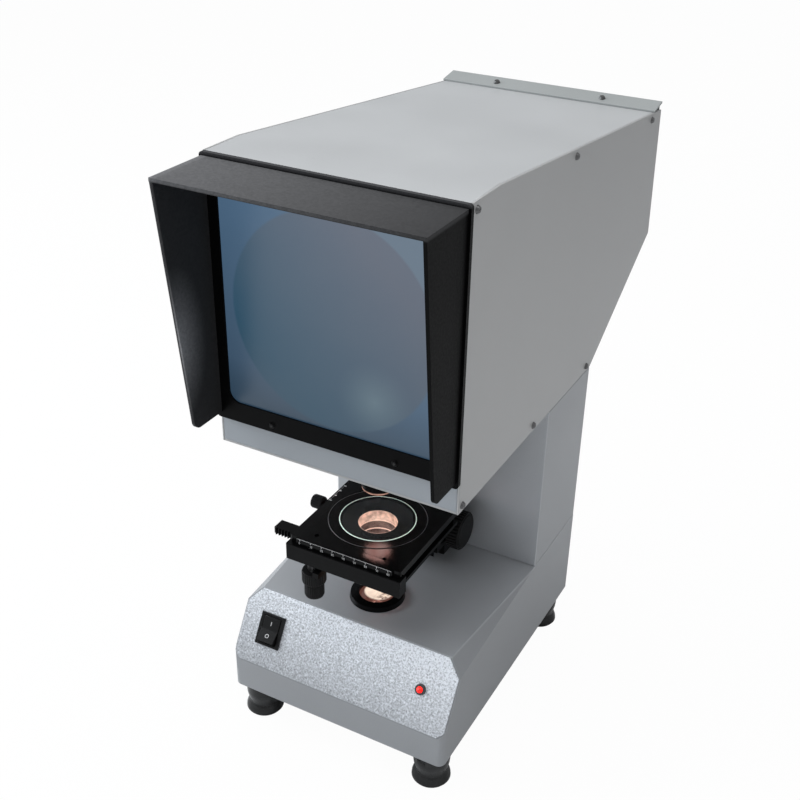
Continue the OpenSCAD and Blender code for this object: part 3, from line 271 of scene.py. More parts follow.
# Front panel.
# A thin bright plate with a hammered skin, glued on the slope of the base. It is paler
# along its upper edge and to the right, as the light falls on it.
DIMPLES, RIPPLES = 780.0, 580.0
COLD_WHITE = (0.94, 0.97, 1.02, 1.0)


def hammered():
    """Bright plate with small dimples and ripples."""
    plate = Finish("hammered_plate", Metallic=0.35)
    inputs = {"Vector": plate.at, "Scale": DIMPLES, "Randomness": 1.0}
    dimple = plate.at.node("ShaderNodeTexVoronoi", 0, inputs, feature="SMOOTH_F1")
    ripple = plate.at.noise(RIPPLES, 3.0)
    height = dimple * 0.5 + ripple * 0.9
    low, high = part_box("front_panel")
    rightward = plate.at.axis("X").span(low.x, high.x, 0.88, 1.08)
    upward = plate.at.axis("Z").span(low.z, high.z, 0.66, 1.18)
    tone = height.span(0.42, 0.92, 0.43, 1.11) * (rightward * upward)
    plate.set(Base_Color=tone.mix(BLACK, COLD_WHITE))
    plate.set(Roughness=ripple.span(0.3, 0.7, 0.34, 0.5))
    plate.bump(height, 0.6, 0.0008)
    return plate.material


dress("front_panel", hammered(), width=0.4, longer=3.0)


# Rocker switch.
# A moulded black frame snapped into the panel, with a rocker that dips towards its
# pressed half and two white signs printed on it.
def moulded(name, level, roughness, grain=900.0, sheen=0.5):
    """Plastic, rubber or dark paint with a fine grain."""
    plastic = Finish(name, IOR=1.48, Specular_IOR_Level=sheen)
    cloud = plastic.at.noise(60.0, 2.0)
    fine = plastic.at.noise(grain, 2.0)
    darker, painted_light = shade(level * 0.85), shade(level * 1.15, (1.0, 1.0, 1.03))
    plastic.set(Base_Color=cloud.span(0.3, 0.7).mix(darker, painted_light))
    plastic.set(Roughness=fine.span(0.3, 0.7, roughness - 0.06, roughness + 0.06))
    plastic.bump(fine, 0.15, 0.0002)
    return plastic.material


switch_black = moulded("switch_black", 0.006, 0.34, 900.0, 0.25)
dress("switch_frame", switch_black, width=0.7, longer=12.0)
dress("switch_rocker", switch_black, width=0.6, longer=10.0)


def ink(name, tone, power):
    """Printed ink that is a little worn."""
    white = Finish(name, Roughness=0.5, Emission_Strength=power)
    wear = white.at.noise(800.0, 2.0)
    worn = wear.span(0.3, 0.7).mix(shade(0.8, tone[:3]), tone)
    white.set(Base_Color=worn, Emission_Color=worn)
    return white.material


def prisms(name, outlines, matrix, thick, material, body, slot):
    """One mesh of flat marks, each an outline of (x, y) millimetres on the matrix's XY plane."""
    shape = bmesh.new()
    for outline in outlines:
        low = [shape.verts.new(matrix @ Vector((x * MM, y * MM, 0.0))) for x, y in outline]
        high = [shape.verts.new(matrix @ Vector((x * MM, y * MM, thick * MM))) for x, y in outline]
        shape.faces.new(list(reversed(low)))
        shape.faces.new(high)
        for i in range(len(low)):
            j = (i + 1) % len(low)
            shape.faces.new((low[i], low[j], high[j], high[i]))
    bmesh.ops.recalc_face_normals(shape, faces=shape.faces)
    mesh = bpy.data.meshes.new(name)
    shape.to_mesh(mesh)
    shape.free()
    return place(name, mesh, material, body, slot)


def arc_strip(inner, outer, start, end, steps, x=0.0, y=0.0):
    """Quads that follow an arc, for rings and strokes."""
    for i in range(steps):
        a = radians(start + (end - start) * i / steps)
        b = radians(start + (end - start) * (i + 1) / steps)
        yield [
            (x + inner * cos(a), y + inner * sin(a)), (x + outer * cos(a), y + outer * sin(a)),
            (x + outer * cos(b), y + outer * sin(b)), (x + inner * cos(b), y + inner * sin(b)),
        ]


white_ink = ink("white_ink", (0.7, 0.7, 0.7, 1.0), 0.1)
panel_face = max(frame["nodes"]["front_panel"].data.polygons, key=lambda face: face.area)
panel_normal = panel_face.normal if panel_face.normal.z > 0 else -panel_face.normal
panel_tilt = atan2(-panel_normal.y, panel_normal.z)
rocker_joint = next(joint for joint in frame["joints"] if joint["name"] == "rocker_tilt")
ROCKER_DIP = radians(12.0)
ROCKER_TOP = 2.0
rocker = Matrix.Translation(rocker_joint["pos_m"]) @ Matrix.Rotation(panel_tilt - ROCKER_DIP, 4, "X")
rocker = rocker @ Matrix.Translation((0.0, 0.0, ROCKER_TOP * MM))
upper = rocker @ Matrix.Rotation(ROCKER_DIP, 4, "X")
lower = rocker @ Matrix.Rotation(-ROCKER_DIP, 4, "X")
INK = 0.06
BAR_HALF, BAR_LOW, BAR_HIGH = 0.3, 4.2, 7.8
RING_IN, RING_OUT, RING_Y = 1.4, 1.95, -6.0
bar = [(-BAR_HALF, BAR_LOW), (BAR_HALF, BAR_LOW), (BAR_HALF, BAR_HIGH), (-BAR_HALF, BAR_HIGH)]
ring = list(arc_strip(RING_IN, RING_OUT, 0, 360, 28, y=RING_Y))
prisms("sign_on", [bar], upper, INK, white_ink, "rocker", "black_plastic")
prisms("sign_off", ring, lower, INK, white_ink, "rocker", "black_plastic")


# Indicator.
# A domed red plastic lens pressed into a dark grey ring in the panel, with the lamp
# behind it alight.
def glowing(name, dark, bright, power, scale):
    """Glass or plastic that glows with a lamp alight behind it; the objective lens takes it for a
    painted reflection.
    """
    lamp = Finish(name, Roughness=0.18, Emission_Strength=power)
    flow = lamp.at.noise(scale, 2.0).span(0.35, 0.65)
    lamp.set(Base_Color=flow.mix(dark, bright), Emission_Color=flow.mix(dark, bright))
    return lamp.material


dress("led_holder", moulded("led_ring", 0.05, 0.3))
DEEP_RED, BRIGHT_RED = (0.5, 0.0, 0.0, 1.0), (1.0, 0.03, 0.02, 1.0)
dress("led_lens", glowing("led_red", DEEP_RED, BRIGHT_RED, 2.2, 500.0))


# Feet and underside.
# Moulded rubber feet held by long steel screws, and the plated sheet that closes the
# base from below.
rubber = moulded("rubber", 0.004, 0.22, 1500.0, 0.45)
for corner in ("front_left", "front_right", "rear_left", "rear_right"):
    dress("foot_" + corner, rubber, sharp=50.0)


def metal(name, level, tint, roughness):
    """Bare metal with a fine grain."""
    bare = Finish(name, Metallic=1.0)
    grain = bare.at.noise(1200.0, 3.0)
    bare.set(Base_Color=grain.span(0.3, 0.7).mix(shade(level * 0.9, tint), shade(level, tint)))
    bare.set(Roughness=grain.span(0.3, 0.7, roughness - 0.07, roughness + 0.07))
    bare.bump(grain, 0.1, 0.0001)
    return bare.material


steel = metal("steel", 0.62, (1.0, 1.0, 1.02), 0.32)
dress("foot_screws", steel)
dress("bottom_plate", metal("plated_sheet", 0.55, (1.0, 1.0, 0.97), 0.42))


# Condenser.
# A black turned flange screwed on the base, round a thick glass lens that glows warm
# with painted light from the lamp under it.
stage_black = moulded("stage_black", 0.003, 0.12, 1500.0, 0.1)
dress("condenser_ring", stage_black)
CORE_BACK = 3.0 * MM
DIM_RIM_GLOW, LAMP_WHITE = (0.11, 0.045, 0.035, 1.0), (1.05, 0.84, 0.68, 1.0)


def condensed():
    """Painted lamp light in a thick lens: a bright middle, painted glints to the right and a dim
    copper-coloured rim.
    """
    lens = Finish("condenser_glow", Roughness=0.08, Emission_Strength=1.0)
    low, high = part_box("condenser_lens")
    across = lens.at.axis("X") - (low.x + high.x) / 2
    along = lens.at.axis("Y") - ((low.y + high.y) / 2 + CORE_BACK)
    radius = (across * across + along * along) ** 0.5
    full = (high.x - low.x) / 2
    core = radius.span(full * 0.84, full * 0.74)
    lamp_glints = lens.at.noise(260.0, 3.0).span(0.42, 0.58)
    lamp_glints = lamp_glints * across.span(0.0, full * 0.5) + across.span(full * 0.5, 0.0)
    cloud = lens.at.noise(120.0, 2.0).span(0.3, 0.7, 0.75, 1.0)
    tone = core * lamp_glints * cloud
    lens.set(Base_Color=tone.mix((0.02, 0.01, 0.01, 1.0), (0.1, 0.08, 0.06, 1.0)))
    lens.set(Emission_Color=tone.mix(DIM_RIM_GLOW, LAMP_WHITE))
    return lens.material


dress("condenser_lens", condensed())


# Lamp house and mains parts.
# A sheet steel lamp box, its mirror and the transformer stand on the bottom plate inside
# the base, seen only with it taken apart. The plastic inlet sits in the rear wall.
ceramic = moulded("ceramic", 0.7, 0.3)
iron = metal("core_iron", 0.2, (1.0, 0.96, 0.92), 0.5)
copper = metal("copper", 0.75, (1.0, 0.6, 0.42), 0.28)
mirror = metal("mirror", 0.9, (1.0, 1.0, 1.0), 0.12)
dress("lamp_housing", steel, width=0.3, longer=20.0)
dress("lamp_socket", ceramic)
AMBER, CREAM = (0.75, 0.36, 0.22, 1.0), (1.0, 0.86, 0.72, 1.0)
dress("lamp_bulb", glowing("warm_glow", AMBER, CREAM, 1.15, 90.0))
dress("lamp_mirror_block", stage_black)
dress("lamp_mirror", mirror)
dress("transformer_core", iron)
dress("transformer_coil", copper)
dress("power_inlet", switch_black, width=0.5, longer=15.0)


# Lift.
# A black dovetail slide screwed on the column, the carriage with its arm that runs on it,
# and the steel shaft with the ribbed wheel that drives its rack.
dress("lift_body", stage_black, width=0.5, longer=20.0)
dress("stage_carrier", stage_black, width=0.5, longer=20.0)
dress("lift_rack", steel)
dress("lift_shaft", steel)
knob_black = moulded("knob_black", 0.006, 0.36, 900.0, 0.15)
dress("lift_handwheel", knob_black)


# Stage slides.
# Glossy black plates one over the other on dovetails, with black racks, dark steel shafts
# and moulded knobs. A sleeve stands in the bore with painted warm lamp light on it from below.
dress("stage_base_plate", stage_black, width=0.4, longer=20.0)
dress("y_rack", stage_black)
BORE_IN, BORE_OUT = 17.7 * MM, 17.9 * MM
BAND_FULL, BAND_END = 9.0 * MM, 10.5 * MM
FIRST_STEP = (9.5 * MM, 10.2 * MM, 10.9 * MM, 11.6 * MM)
SECOND_STEP = (18.4 * MM, 19.0 * MM, 19.6 * MM, 20.2 * MM)
DARK_LAMP_GLOW, BRIGHT_LAMP_GLOW = (0.05, 0.02, 0.015, 1.0), (1.0, 0.66, 0.52, 1.0)
SLEEVE_BLACK = (0.012, 0.012, 0.013, 1.0)


def lit_sleeve():
    """Painted lamp light on the bore wall: a bright upper band, two bright steps, painted shade
    between.
    """
    bore = Finish("painted_bore_light", Metallic=0.6, Roughness=0.2, Emission_Strength=0.9)
    low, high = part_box("light_tube")
    depth = bore.at.axis("Z") * -1.0 + high.z
    rings = bore.at.node("ShaderNodeCombineXYZ", 0, {"Z": depth}).noise(900.0, 3.0)
    painted_glint = bore.at.noise(160.0, 3.0).span(0.35, 0.65)
    # Painted light: a lit upper band, two lit steps and glints, with painted shade between.
    upper = depth.span(BAND_END, BAND_FULL)
    steps = depth.band(*FIRST_STEP) + depth.band(*SECOND_STEP)
    tone = upper * (painted_glint * 0.45 + rings * 0.5 + 0.1) + steps * 0.75 + painted_glint * 0.1
    warm = tone.span(0.0, 1.0).mix(DARK_LAMP_GLOW, BRIGHT_LAMP_GLOW)
    across = bore.at.axis("X") - (low.x + high.x) / 2
    along = bore.at.axis("Y") - (low.y + high.y) / 2
    inside = ((across * across + along * along) ** 0.5).span(BORE_OUT, BORE_IN)
    bore.set(Base_Color=inside.mix(SLEEVE_BLACK, warm), Emission_Color=inside.mix(BLACK, warm))
    return bore.material


dress("light_tube", lit_sleeve())
dress("y_slide", stage_black, width=0.5, longer=12.0)
dress("x_slide", stage_black, width=0.5, longer=30.0)
dress("x_rack_bar", stage_black, width=0.3, longer=10.0)
for node in ("y_knob", "x_knob", "rotary_lock"):
    dress(node, knob_black)
dark_steel = metal("dark_steel", 0.16, (1.0, 1.0, 1.0), 0.35)
for node in ("y_tube", "x_shaft"):
    dress(node, dark_steel)


# Scale strip.
# A black strip along the front edge of the table with white printed strokes, each with
# its number, and finer marks printed on the table along its left edge.
def blocks(name, boxes, material, body, slot):
    """One mesh of plain bars, each given by two opposite corners in millimetres."""
    shape = bmesh.new()
    for low, high in boxes:
        low = Vector(low) * MM
        high = Vector(high) * MM
        size = Matrix.Diagonal((high - low).to_4d())
        bmesh.ops.create_cube(shape, size=1.0, matrix=Matrix.Translation((low + high) / 2) @ size)
    mesh = bpy.data.meshes.new(name)
    shape.to_mesh(mesh)
    shape.free()
    return place(name, mesh, material, body, slot)


dress("scale_strip", stage_black, width=0.2, longer=5.0)
strip_low, strip_high = (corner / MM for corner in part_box("scale_strip"))
STROKES = {
    "0": "abcdef", "1": "bc", "2": "abged", "3": "abgcd", "4": "fgbc",
    "5": "afgcd", "6": "afgedc", "7": "abc", "8": "abcdefg",
}
BARS = {
    "a": (0, 2, 1, 2), "b": (1, 1, 1, 2), "c": (1, 0, 1, 1), "d": (0, 0, 1, 0),
    "e": (0, 0, 0, 1), "f": (0, 1, 0, 2), "g": (0, 1, 1, 1),
}


DIGIT_LINE, DIGIT_WIDTH = 0.22, 0.9


def digit_boxes(mark, x, z, height, y_front, y_back):
    """The bars of one digit, drawn as on a seven-bar display."""
    step = height / 2
    for key in STROKES[mark]:
        x0, z0, x1, z1 = BARS[key]
        yield (
            (x + x0 * step * DIGIT_WIDTH - DIGIT_LINE / 2, y_front, z + z0 * step - DIGIT_LINE / 2),
            (x + x1 * step * DIGIT_WIDTH + DIGIT_LINE / 2, y_back, z + z1 * step + DIGIT_LINE / 2),
        )


SCALE_END, SCALE_STEP, DIVISION = 80, 10, 1.1
STROKE_HALF, STROKE_LOW, STROKE_HIGH = 0.16, 2.4, 0.5
DIGIT_H, DIGIT_RISE, DIGIT_LEFT, DIGIT_PITCH = 1.8, 0.9, 1.0, 1.5
LINE_END, LINE_OUT, LINE_LOW, LINE_HIGH = 1, 0.05, 0.6, 0.35
MARK_OUT, MARK_IN = 0.06, 0.02
mark_front, mark_back = strip_low.y - MARK_OUT, strip_low.y + MARK_IN
scale_marks = []
for number in range(0, SCALE_END + 1, SCALE_STEP):
    x = (number - SCALE_END / 2) * DIVISION
    scale_marks.append((
        (x - STROKE_HALF, mark_front, strip_high.z - STROKE_LOW),
        (x + STROKE_HALF, mark_back, strip_high.z - STROKE_HIGH),
    ))
    for k, mark in enumerate(str(number)):
        left = x - DIGIT_LEFT + DIGIT_PITCH * k
        scale_marks += digit_boxes(mark, left, strip_low.z + DIGIT_RISE, DIGIT_H, mark_front, mark_back)
scale_marks.append((
    (strip_low.x + LINE_END, strip_low.y - LINE_OUT, strip_high.z - LINE_LOW),
    (strip_high.x - LINE_END, mark_back, strip_high.z - LINE_HIGH),
))
blocks("scale_marks", scale_marks, white_ink, "cross_x", "black_paint")
table_low, table_high = (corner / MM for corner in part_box("x_slide"))
EDGE_COUNT, EDGE_START, EDGE_PITCH, EDGE_INSET, EDGE_GROUP = 13, 36.0, 2.2, 1.0, 4
EDGE_OUT, EDGE_IN = 0.05, 0.02
LONG_MARK, SHORT_MARK = (2.6, 0.5), (1.2, 0.15)
edge_marks = []
for i in range(EDGE_COUNT):
    y = table_high.y - EDGE_START - EDGE_PITCH * i
    long, half = LONG_MARK if i % EDGE_GROUP == 0 else SHORT_MARK
    left = table_low.x + EDGE_INSET
    edge_marks.append((
        (left, y - half, table_high.z - EDGE_IN),
        (left + long, y + half, table_high.z + EDGE_OUT),
    ))
blocks("edge_marks", edge_marks, white_ink, "cross_x", "black_paint")


# Rotary table.
# A turned black ring that rests in the table, with a painted highlight drawn as a thin steel line
# on its rim, round a clear glass whose ground edge is pale green and glows with a painted highlight.
dress("rotary_ring", stage_black, sharp=30.0)
glass_low, glass_high = (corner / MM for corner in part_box("stage_glass"))
ring_low, ring_high = (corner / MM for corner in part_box("rotary_ring"))
axis_x = (glass_low.x + glass_high.x) / 2
axis_y = (glass_low.y + glass_high.y) / 2
glass_r = (glass_high.x - glass_low.x) / 2
glass = Finish("clear_glass", Transmission_Weight=1.0, IOR=1.45)
glass.set(Base_Color=glass.at.noise(40.0).mix(shade(0.93, (0.96, 1.0, 0.98)), shade(0.97)))
glass.set(Roughness=glass.at.noise(90.0).span(0.3, 0.7, 0.01, 0.04))
dress("stage_glass", glass.material, sharp=30.0)


SPIN_STEPS = 128
SEAM = 1e-7


def turned(name, profile, centre, material, body, slot):
    """A closed profile of (radius, height) points spun about an upright axis, in millimetres."""
    shape = bmesh.new()
    verts = [shape.verts.new(((centre[0] + r) * MM, centre[1] * MM, z * MM)) for r, z in profile]
    edges = [shape.edges.new((verts[i], verts[(i + 1) % len(verts)])) for i in range(len(verts))]
    bmesh.ops.spin(
        shape, geom=verts + edges, cent=(centre[0] * MM, centre[1] * MM, 0.0), axis=(0.0, 0.0, 1.0),
        angle=2 * pi, steps=SPIN_STEPS, use_merge=True,
    )
    bmesh.ops.remove_doubles(shape, verts=shape.verts, dist=SEAM)
    bmesh.ops.recalc_face_normals(shape, faces=shape.faces)
    mesh = bpy.data.meshes.new(name)
    shape.to_mesh(mesh)
    shape.free()
    return place(name, mesh, material, body, slot)


# The glass edge's pale green is its own; its glow is a painted highlight.
glass_edge_highlight = ink("glass_edge", (0.62, 0.8, 0.72, 1.0), 0.5)
axis = (axis_x, axis_y)
edge_profile = [
    (glass_r - 0.9, glass_high.z + 0.02), (glass_r - 0.25, glass_high.z - 0.3),
    (glass_r - 0.15, glass_high.z - 0.2), (glass_r - 0.7, glass_high.z + 0.1),
]
turned("glass_edge_ring", edge_profile, axis, glass_edge_highlight, "rotary_table", "glass")
# A thin steel line on the rim, put there for a painted highlight.
rim_r = (ring_high.x - ring_low.x) / 2
rim_highlight_profile = [
    (rim_r - 0.75, ring_high.z + 0.03), (rim_r - 0.15, ring_high.z - 0.2),
    (rim_r - 0.1, ring_high.z - 0.1), (rim_r - 0.6, ring_high.z + 0.12),
]
turned("rotary_rim_highlight", rim_highlight_profile, axis, dark_steel, "rotary_table", "black_paint")


# Head.
# Folded and painted sheet panels held by cross-headed screws, one grey paint in lit and shaded copies:
# palest on top, darkest on the cover and lip at the rear, and sides painted paler towards the front.
# Lit and shaded copies of one paint: painted light on the top, painted shade on the sides, front and
# rear.
head_lit_top_paint = paint("head_lit_top_paint", 0.475, (0.97, 0.99, 1.0), 0.1)
painted_light_sides = ("Y", 0.05, -0.18, 1.07)
head_shaded_side_paint = paint("head_shaded_side_paint", 0.395, (1.0, 1.0, 0.99), 0.1, painted_light_sides)
head_shaded_front_paint = paint("head_shaded_front_paint", 0.36, (0.9, 0.97, 1.04), 0.1)
rear_shaded_paint = paint("rear_shaded_paint", 0.34, (0.95, 1.0, 0.99), 0.1)
dress("head_top_cover", head_lit_top_paint, width=0.7, longer=12.0)
dress("head_left_panel", head_shaded_side_paint, width=0.6, longer=12.0)
dress("head_right_panel", head_shaded_side_paint, width=0.6, longer=12.0)
dress("head_front_frame", head_shaded_front_paint, width=0.4, longer=12.0)
dress("head_floor", head_shaded_side_paint, width=0.4, longer=12.0)
dress("rear_cover", rear_shaded_paint, width=0.5, longer=12.0)
dress("cover_screws", dark_steel)


# Painted shade: the dark crosses stand in for the shade inside the screws' cross recesses.
recess_shade = moulded("painted_recess_shade", 0.02, 0.5)
CROSS_DEPTH = 0.05


def screw_slots(node, reach, line):
    """A dark cross of painted shade, for the cross recess, on the outer face of every screw of a group.
    """
    shape = bmesh.new()
    shape.from_mesh(frame["nodes"][node].data)
    bmesh.ops.remove_doubles(shape, verts=shape.verts, dist=WELD)
    left = set(shape.verts)
    shapes = []
    for first in shape.verts:
        if first not in left:
            continue
        left.discard(first)
        group = [first]
        for vert in group:
            for edge in vert.link_edges:
                other = edge.other_vert(vert)
                if other in left:
                    left.discard(other)
                    group.append(other)
        shapes.append([vert.co.copy() for vert in group])
    shape.free()
    cross = [
        [(-reach, -line / 2), (reach, -line / 2), (reach, line / 2), (-reach, line / 2)],
        [(-line / 2, -reach), (line / 2, -reach), (line / 2, reach), (-line / 2, reach)],
    ]
    for k, points in enumerate(shapes):
        prisms(f"{node}_cross_{k}", cross, outward(points), CROSS_DEPTH, recess_shade, "stand", "steel")


LIP_SLOPE = atan2(5.0, 22.0)
LIP_HEAD = 1.2 * MM


def outward(points):
    """The frame on a screw's outer face: sideways on panels, forward on the bezel, up on the lip."""
    low = Vector([min(p[i] for p in points) for i in range(3)])
    high = Vector([max(p[i] for p in points) for i in range(3)])
    middle = (low + high) / 2
    size = high - low
    if size.x > size.y and size.x > size.z:
        side = 1.0 if middle.x > 0 else -1.0
        tip = Vector((high.x if side > 0 else low.x, middle.y, middle.z))
        return Matrix.Translation(tip) @ Matrix.Rotation(side * pi / 2, 4, "Y")
    if size.y > size.z:
        tip = Vector((middle.x, low.y, middle.z))
        return Matrix.Translation(tip) @ Matrix.Rotation(pi / 2, 4, "X")
    top = [p for p in points if p.z > high.z - LIP_HEAD]
    tip = sum(top, Vector()) / len(top)
    return Matrix.Translation(tip) @ Matrix.Rotation(LIP_SLOPE, 4, "X")


screw_slots("cover_screws", reach=1.7, line=0.55)


# Screen.
# A black painted frame screwed on the head, round a ground glass whose glow is painted projected light:
# the round field, cooler to the lower left and warmer to the upper right, with painted shade at its
# foot.
BEZEL_LIT_LOW, BEZEL_LIT_HIGH = 3.0 * MM, 1.0 * MM


def framed():
    """Black paint with a painted highlight along the upper edge."""
    frame_black = Finish("bezel_black", IOR=1.48, Specular_IOR_Level=0.06)
    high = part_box("screen_bezel")[1]
    fine = frame_black.at.noise(900.0, 2.0)
    upward = frame_black.at.axis("Z")
    # Painted highlight: the top few millimetres of the bezel are paler.
    lit_crown = upward.span(high.z - BEZEL_LIT_LOW, high.z - BEZEL_LIT_HIGH, 0.002, 0.05)
    level = lit_crown * fine.span(0.3, 0.7, 0.85, 1.15)
    frame_black.set(Base_Color=level.mix(BLACK, (1.0, 1.0, 1.05, 1.0)))
    frame_black.set(Roughness=fine.span(0.3, 0.7, 0.36, 0.48))
    frame_black.bump(fine, 0.15, 0.0002)
    return frame_black.material


dress("screen_bezel", framed(), width=0.8, longer=20.0)
dress("bezel_screws", knob_black)
screw_slots("bezel_screws", reach=1.3, line=0.45)
screen_low, screen_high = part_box("screen_glass")
centre_x = (screen_low.x + screen_high.x) / 2
centre_z = (screen_low.z + screen_high.z) / 2
FIELD_R, FIELD_EDGE = 89.5 * MM, 1.0 * MM
SPOT_X, SPOT_Z, SPOT_R = 38.0 * MM, -56.0 * MM, 35.0 * MM
SPOT_TONE = (0.4, 0.55, 0.55, 1.0)
RIM_DARK, RIM_PALE = (0.066, 0.13, 0.214, 1.0), (0.072, 0.136, 0.224, 1.0)
RIM_SHADED_FOOT, RIM_LIT_CORNER = (0.0, 0.02, 0.04, 1.0), (0.118, 0.163, 0.215, 1.0)
DISC_COOL, DISC_WARM = (0.03, 0.102, 0.173, 1.0), (0.105, 0.126, 0.168, 1.0)


def projected():
    """Painted projected light on ground glass: the round field, its cooler rim shaded at the foot, and
    a bright spot.
    """
    ground = Finish("ground_glass", Roughness=0.32, Emission_Strength=1.0)
    across = ground.at.axis("X") - centre_x
    upward = ground.at.axis("Z") - centre_z
    radius = (across * across + upward * upward) ** 0.5
    field = radius.span(FIELD_R + FIELD_EDGE, FIELD_R - FIELD_EDGE)
    spot_x = across - SPOT_X
    spot_z = upward - SPOT_Z
    spot = ((spot_x * spot_x + spot_z * spot_z) ** 0.5).span(SPOT_R, 0.0) ** 1.4
    haze = ground.at.noise(25.0, 3.0)
    fall = (upward * 0.8 + across * 0.35).span(-0.09, 0.08, 0.5, 1.0)
    warm = (across + upward).span(-0.1, 0.1)
    # Painted shade darkens the rim towards the foot of the screen, and painted light brightens its
    # upper right corner.
    foot = upward.span(-0.05, -0.09, 1.0, 0.55)
    rim = foot.mix(RIM_SHADED_FOOT, haze.span(0.2, 0.8).mix(RIM_DARK, RIM_PALE))
    rim = (across + upward).span(0.03, 0.12).mix(rim, RIM_LIT_CORNER)
    disc = warm.mix(DISC_COOL, DISC_WARM)
    disc = (haze.span(0.2, 0.8) * 0.05).mix(disc, shade(0.2))
    lit = fall.mix(BLACK, field.mix(rim, disc))
    lit = (spot * field * 0.14).mix(lit, SPOT_TONE)
    ground.set(Base_Color=(haze * 0.05).mix((0.01, 0.015, 0.02, 1.0), shade(0.06)))
    ground.set(Emission_Color=lit)
    ground.bump(ground.at.noise(3000.0, 1.0), 0.05, 0.0001)
    return ground.material


dress("screen_glass", projected(), width=0.2, longer=20.0)


# Hood.
# A folded sheet in matt charcoal, fixed to the frame round the screen. It is near black
# inside, apart from painted light: a soft glow on the left wing and a paler top.
GLOW_Y, GLOW_Z = 12.0 * MM, 139.0 * MM
GLOW_DEPTH, GLOW_HEIGHT = 35.0 * MM, 70.0 * MM
WING_SKIN, WING_IN, WING_FADE, WING_END = 1.0 * MM, 2.0 * MM, 4.0 * MM, 6.0 * MM
HOOD_LIT_LOW, HOOD_LIT_HIGH = 4.0 * MM, 2.0 * MM


def charcoal():
    """Matt paint with painted light: paler on top, fading to the right, and a glow on the left wing."""
    coat = Finish("hood_charcoal", IOR=1.48, Specular_IOR_Level=0.06)
    low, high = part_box("hood")
    fine = coat.at.noise(500.0, 2.0)
    side = coat.at.axis("X")
    # Painted light: the left wing's outer face is paler, and its inner face takes the painted glow.
    outer = side.span(low.x + WING_IN, low.x + WING_SKIN, 0.0, 0.05)
    inner = side.band(low.x + WING_SKIN, low.x + WING_IN, low.x + WING_FADE, low.x + WING_END)
    deep = (coat.at.axis("Y") - (low.y + GLOW_Y)) * (1 / GLOW_DEPTH)
    tall = (coat.at.axis("Z") - (high.z - GLOW_Z)) * (1 / GLOW_HEIGHT)
    glow = ((deep * deep + tall * tall) ** 0.5).span(1.0, 0.0) ** 1.3
    lit_crown = coat.at.axis("Z").span(high.z - HOOD_LIT_LOW, high.z - HOOD_LIT_HIGH)
    lit_crown = lit_crown * side.span(low.x, high.x, 0.112, 0.04)
    level = outer + inner * (glow * 0.23 + 0.028) + lit_crown + 0.003
    level = level * fine.span(0.3, 0.7, 0.85, 1.15)
    coat.set(Base_Color=level.mix(BLACK, (1.0, 1.0, 1.03, 1.0)))
    coat.set(Roughness=fine.span(0.3, 0.7, 0.46, 0.58))
    coat.bump(fine, 0.15, 0.0002)
    return coat.material


dress("hood", charcoal(), width=0.6, longer=5.0)


# Objective and inner optics.
# A turned black barrel screwed into the head, with a painted warm reflection glowing in its lens, and
# the lens tube and the mirrors on their bracket inside the head.
LIT_END, LIT_FULL = 2.4 * MM, 0.8 * MM
LIT_COPPER = (0.75, 0.42, 0.32, 1.0)


def lit_barrel():
    """Black paint with the lamp's copper light painted along the lower rim."""
    barrel = Finish("lit_barrel", Roughness=0.25, Specular_IOR_Level=0.3, Emission_Strength=1.0)
    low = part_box("objective_barrel")[0]
    cloud = barrel.at.noise(220.0, 2.0)
    rim = barrel.at.axis("Z").span(low.z + LIT_END, low.z + LIT_FULL) * cloud.span(0.3, 0.6, 0.5, 1.0)
    barrel.set(Base_Color=cloud.mix(shade(0.003), shade(0.006)))
    barrel.set(Emission_Color=rim.mix(BLACK, LIT_COPPER))
    return barrel.material


dress("objective_barrel", lit_barrel(), sharp=30.0)
ROSE, PALE_ROSE = (0.7, 0.3, 0.26, 1.0), (1.0, 0.66, 0.6, 1.0)
dress("objective_lens", glowing("objective_glow", ROSE, PALE_ROSE, 20.0, 120.0))
dress("lens_tube", stage_black)
dress("projection_lens", glass.material)
dress("fold_bracket", steel)
dress("fold_mirror", mirror)
dress("rear_mirror", mirror)


# Floor, light and camera.
# A pale floor that reads as white, three soft boxes and the place the photograph was
# taken from.
FLOOR_HALF = 9.0
FLOOR_SHINE = 0.97


def floor_plane():
    """A wide floor that the camera sees as white."""
    shape = bmesh.new()
    bmesh.ops.create_grid(shape, x_segments=1, y_segments=1, size=FLOOR_HALF)
    mesh = bpy.data.meshes.new("floor")
    shape.to_mesh(mesh)
    shape.free()
    floor = bpy.data.objects.new("floor", mesh)
    bpy.context.scene.collection.objects.link(floor)
    material = bpy.data.materials.new("floor_white")
    material.use_nodes = True
    tree = material.node_tree
    shader = tree.nodes["Principled BSDF"]
    shader.inputs["Base Color"].default_value = shade(0.8)
    shader.inputs["Roughness"].default_value = 0.9
    glow = tree.nodes.new("ShaderNodeEmission")
    path = tree.nodes.new("ShaderNodeLightPath")
    blend = tree.nodes.new("ShaderNodeMixShader")
    seen = Field(tree, path.outputs["Is Camera Ray"]) * FLOOR_SHINE
    tree.links.new(seen.socket, blend.inputs[0])
    tree.links.new(shader.outputs[0], blend.inputs[1])
    tree.links.new(glow.outputs[0], blend.inputs[2])
    tree.links.new(blend.outputs[0], tree.nodes["Material Output"].inputs["Surface"])
    mesh.materials.append(material)


floor_plane()


def soft_box(name, position, target, size, power, tint):
    """A rectangular light aimed at a point."""
    light = bpy.data.lights.new(name, "AREA")
    light.shape = "RECTANGLE"
    light.size, light.size_y = size
    light.energy = power
    light.color = tint
    lamp = bpy.data.objects.new(name, light)
    bpy.context.scene.collection.objects.link(lamp)
    aim = (Vector(target) - Vector(position)).to_track_quat("-Z", "Y")
    lamp.matrix_world = Matrix.Translation(position) @ aim.to_matrix().to_4x4()


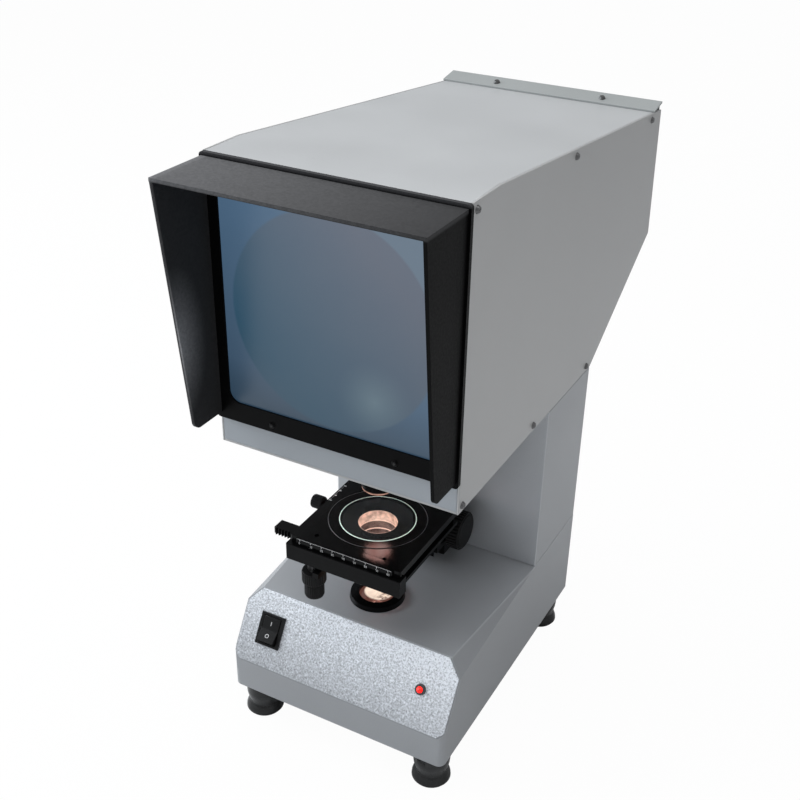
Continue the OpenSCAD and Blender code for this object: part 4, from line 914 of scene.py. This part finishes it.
soft_box(
    "top_box", position=(-0.2, -0.2, 2.3), target=(0.0, 0.0, 0.4),
    size=(1.9, 1.9), power=26.0, tint=(1.0, 1.0, 1.0),
)
soft_box(
    "left_box", position=(-1.9, -0.55, 1.25), target=(0.0, -0.08, 0.13),
    size=(1.4, 1.1), power=30.0, tint=(0.88, 0.94, 1.0),
)
soft_box(
    "front_box", position=(-0.6, -2.1, 1.3), target=(0.0, -0.05, 0.15),
    size=(1.3, 1.0), power=3.0, tint=(0.82, 0.91, 1.0),
)
SKY_TINT, SKY_POWER = (0.95, 0.97, 1.0, 1.0), 0.46
world = bpy.data.worlds.new("studio")
world.use_nodes = True
sky = world.node_tree.nodes["Background"]
sky.inputs["Color"].default_value = SKY_TINT
sky.inputs["Strength"].default_value = SKY_POWER
bpy.context.scene.world = world

YAW, PITCH, ROLL = radians(27.62), radians(-30.08), radians(1.33)
EYE = (0.41602, -0.84905, 0.81788)
SENSOR = 36.0
PICTURE_PX, FOCAL_PX = 800, 1152.79
MIDDLE_X_PX, MIDDLE_Y_PX = 410.25, 413.16
ahead = Vector((-sin(YAW) * cos(PITCH), cos(YAW) * cos(PITCH), sin(PITCH)))
level_right = Vector((cos(YAW), sin(YAW), 0.0))
level_up = level_right.cross(ahead)
right = cos(ROLL) * level_right + sin(ROLL) * level_up
upward = cos(ROLL) * level_up - sin(ROLL) * level_right
lens = bpy.data.cameras.new("camera")
lens.sensor_width = SENSOR
lens.lens = FOCAL_PX / PICTURE_PX * SENSOR
lens.shift_x = (PICTURE_PX / 2 - MIDDLE_X_PX) / PICTURE_PX
lens.shift_y = (MIDDLE_Y_PX - PICTURE_PX / 2) / PICTURE_PX
lens.dof.use_dof = False
camera = bpy.data.objects.new("camera", lens)
bpy.context.scene.collection.objects.link(camera)
turn = Matrix((right, upward, -ahead)).transposed().to_4x4()
camera.matrix_world = Matrix.Translation(EYE) @ turn
bpy.context.scene.camera = camera
bpy.context.scene.view_settings.view_transform = "Standard"
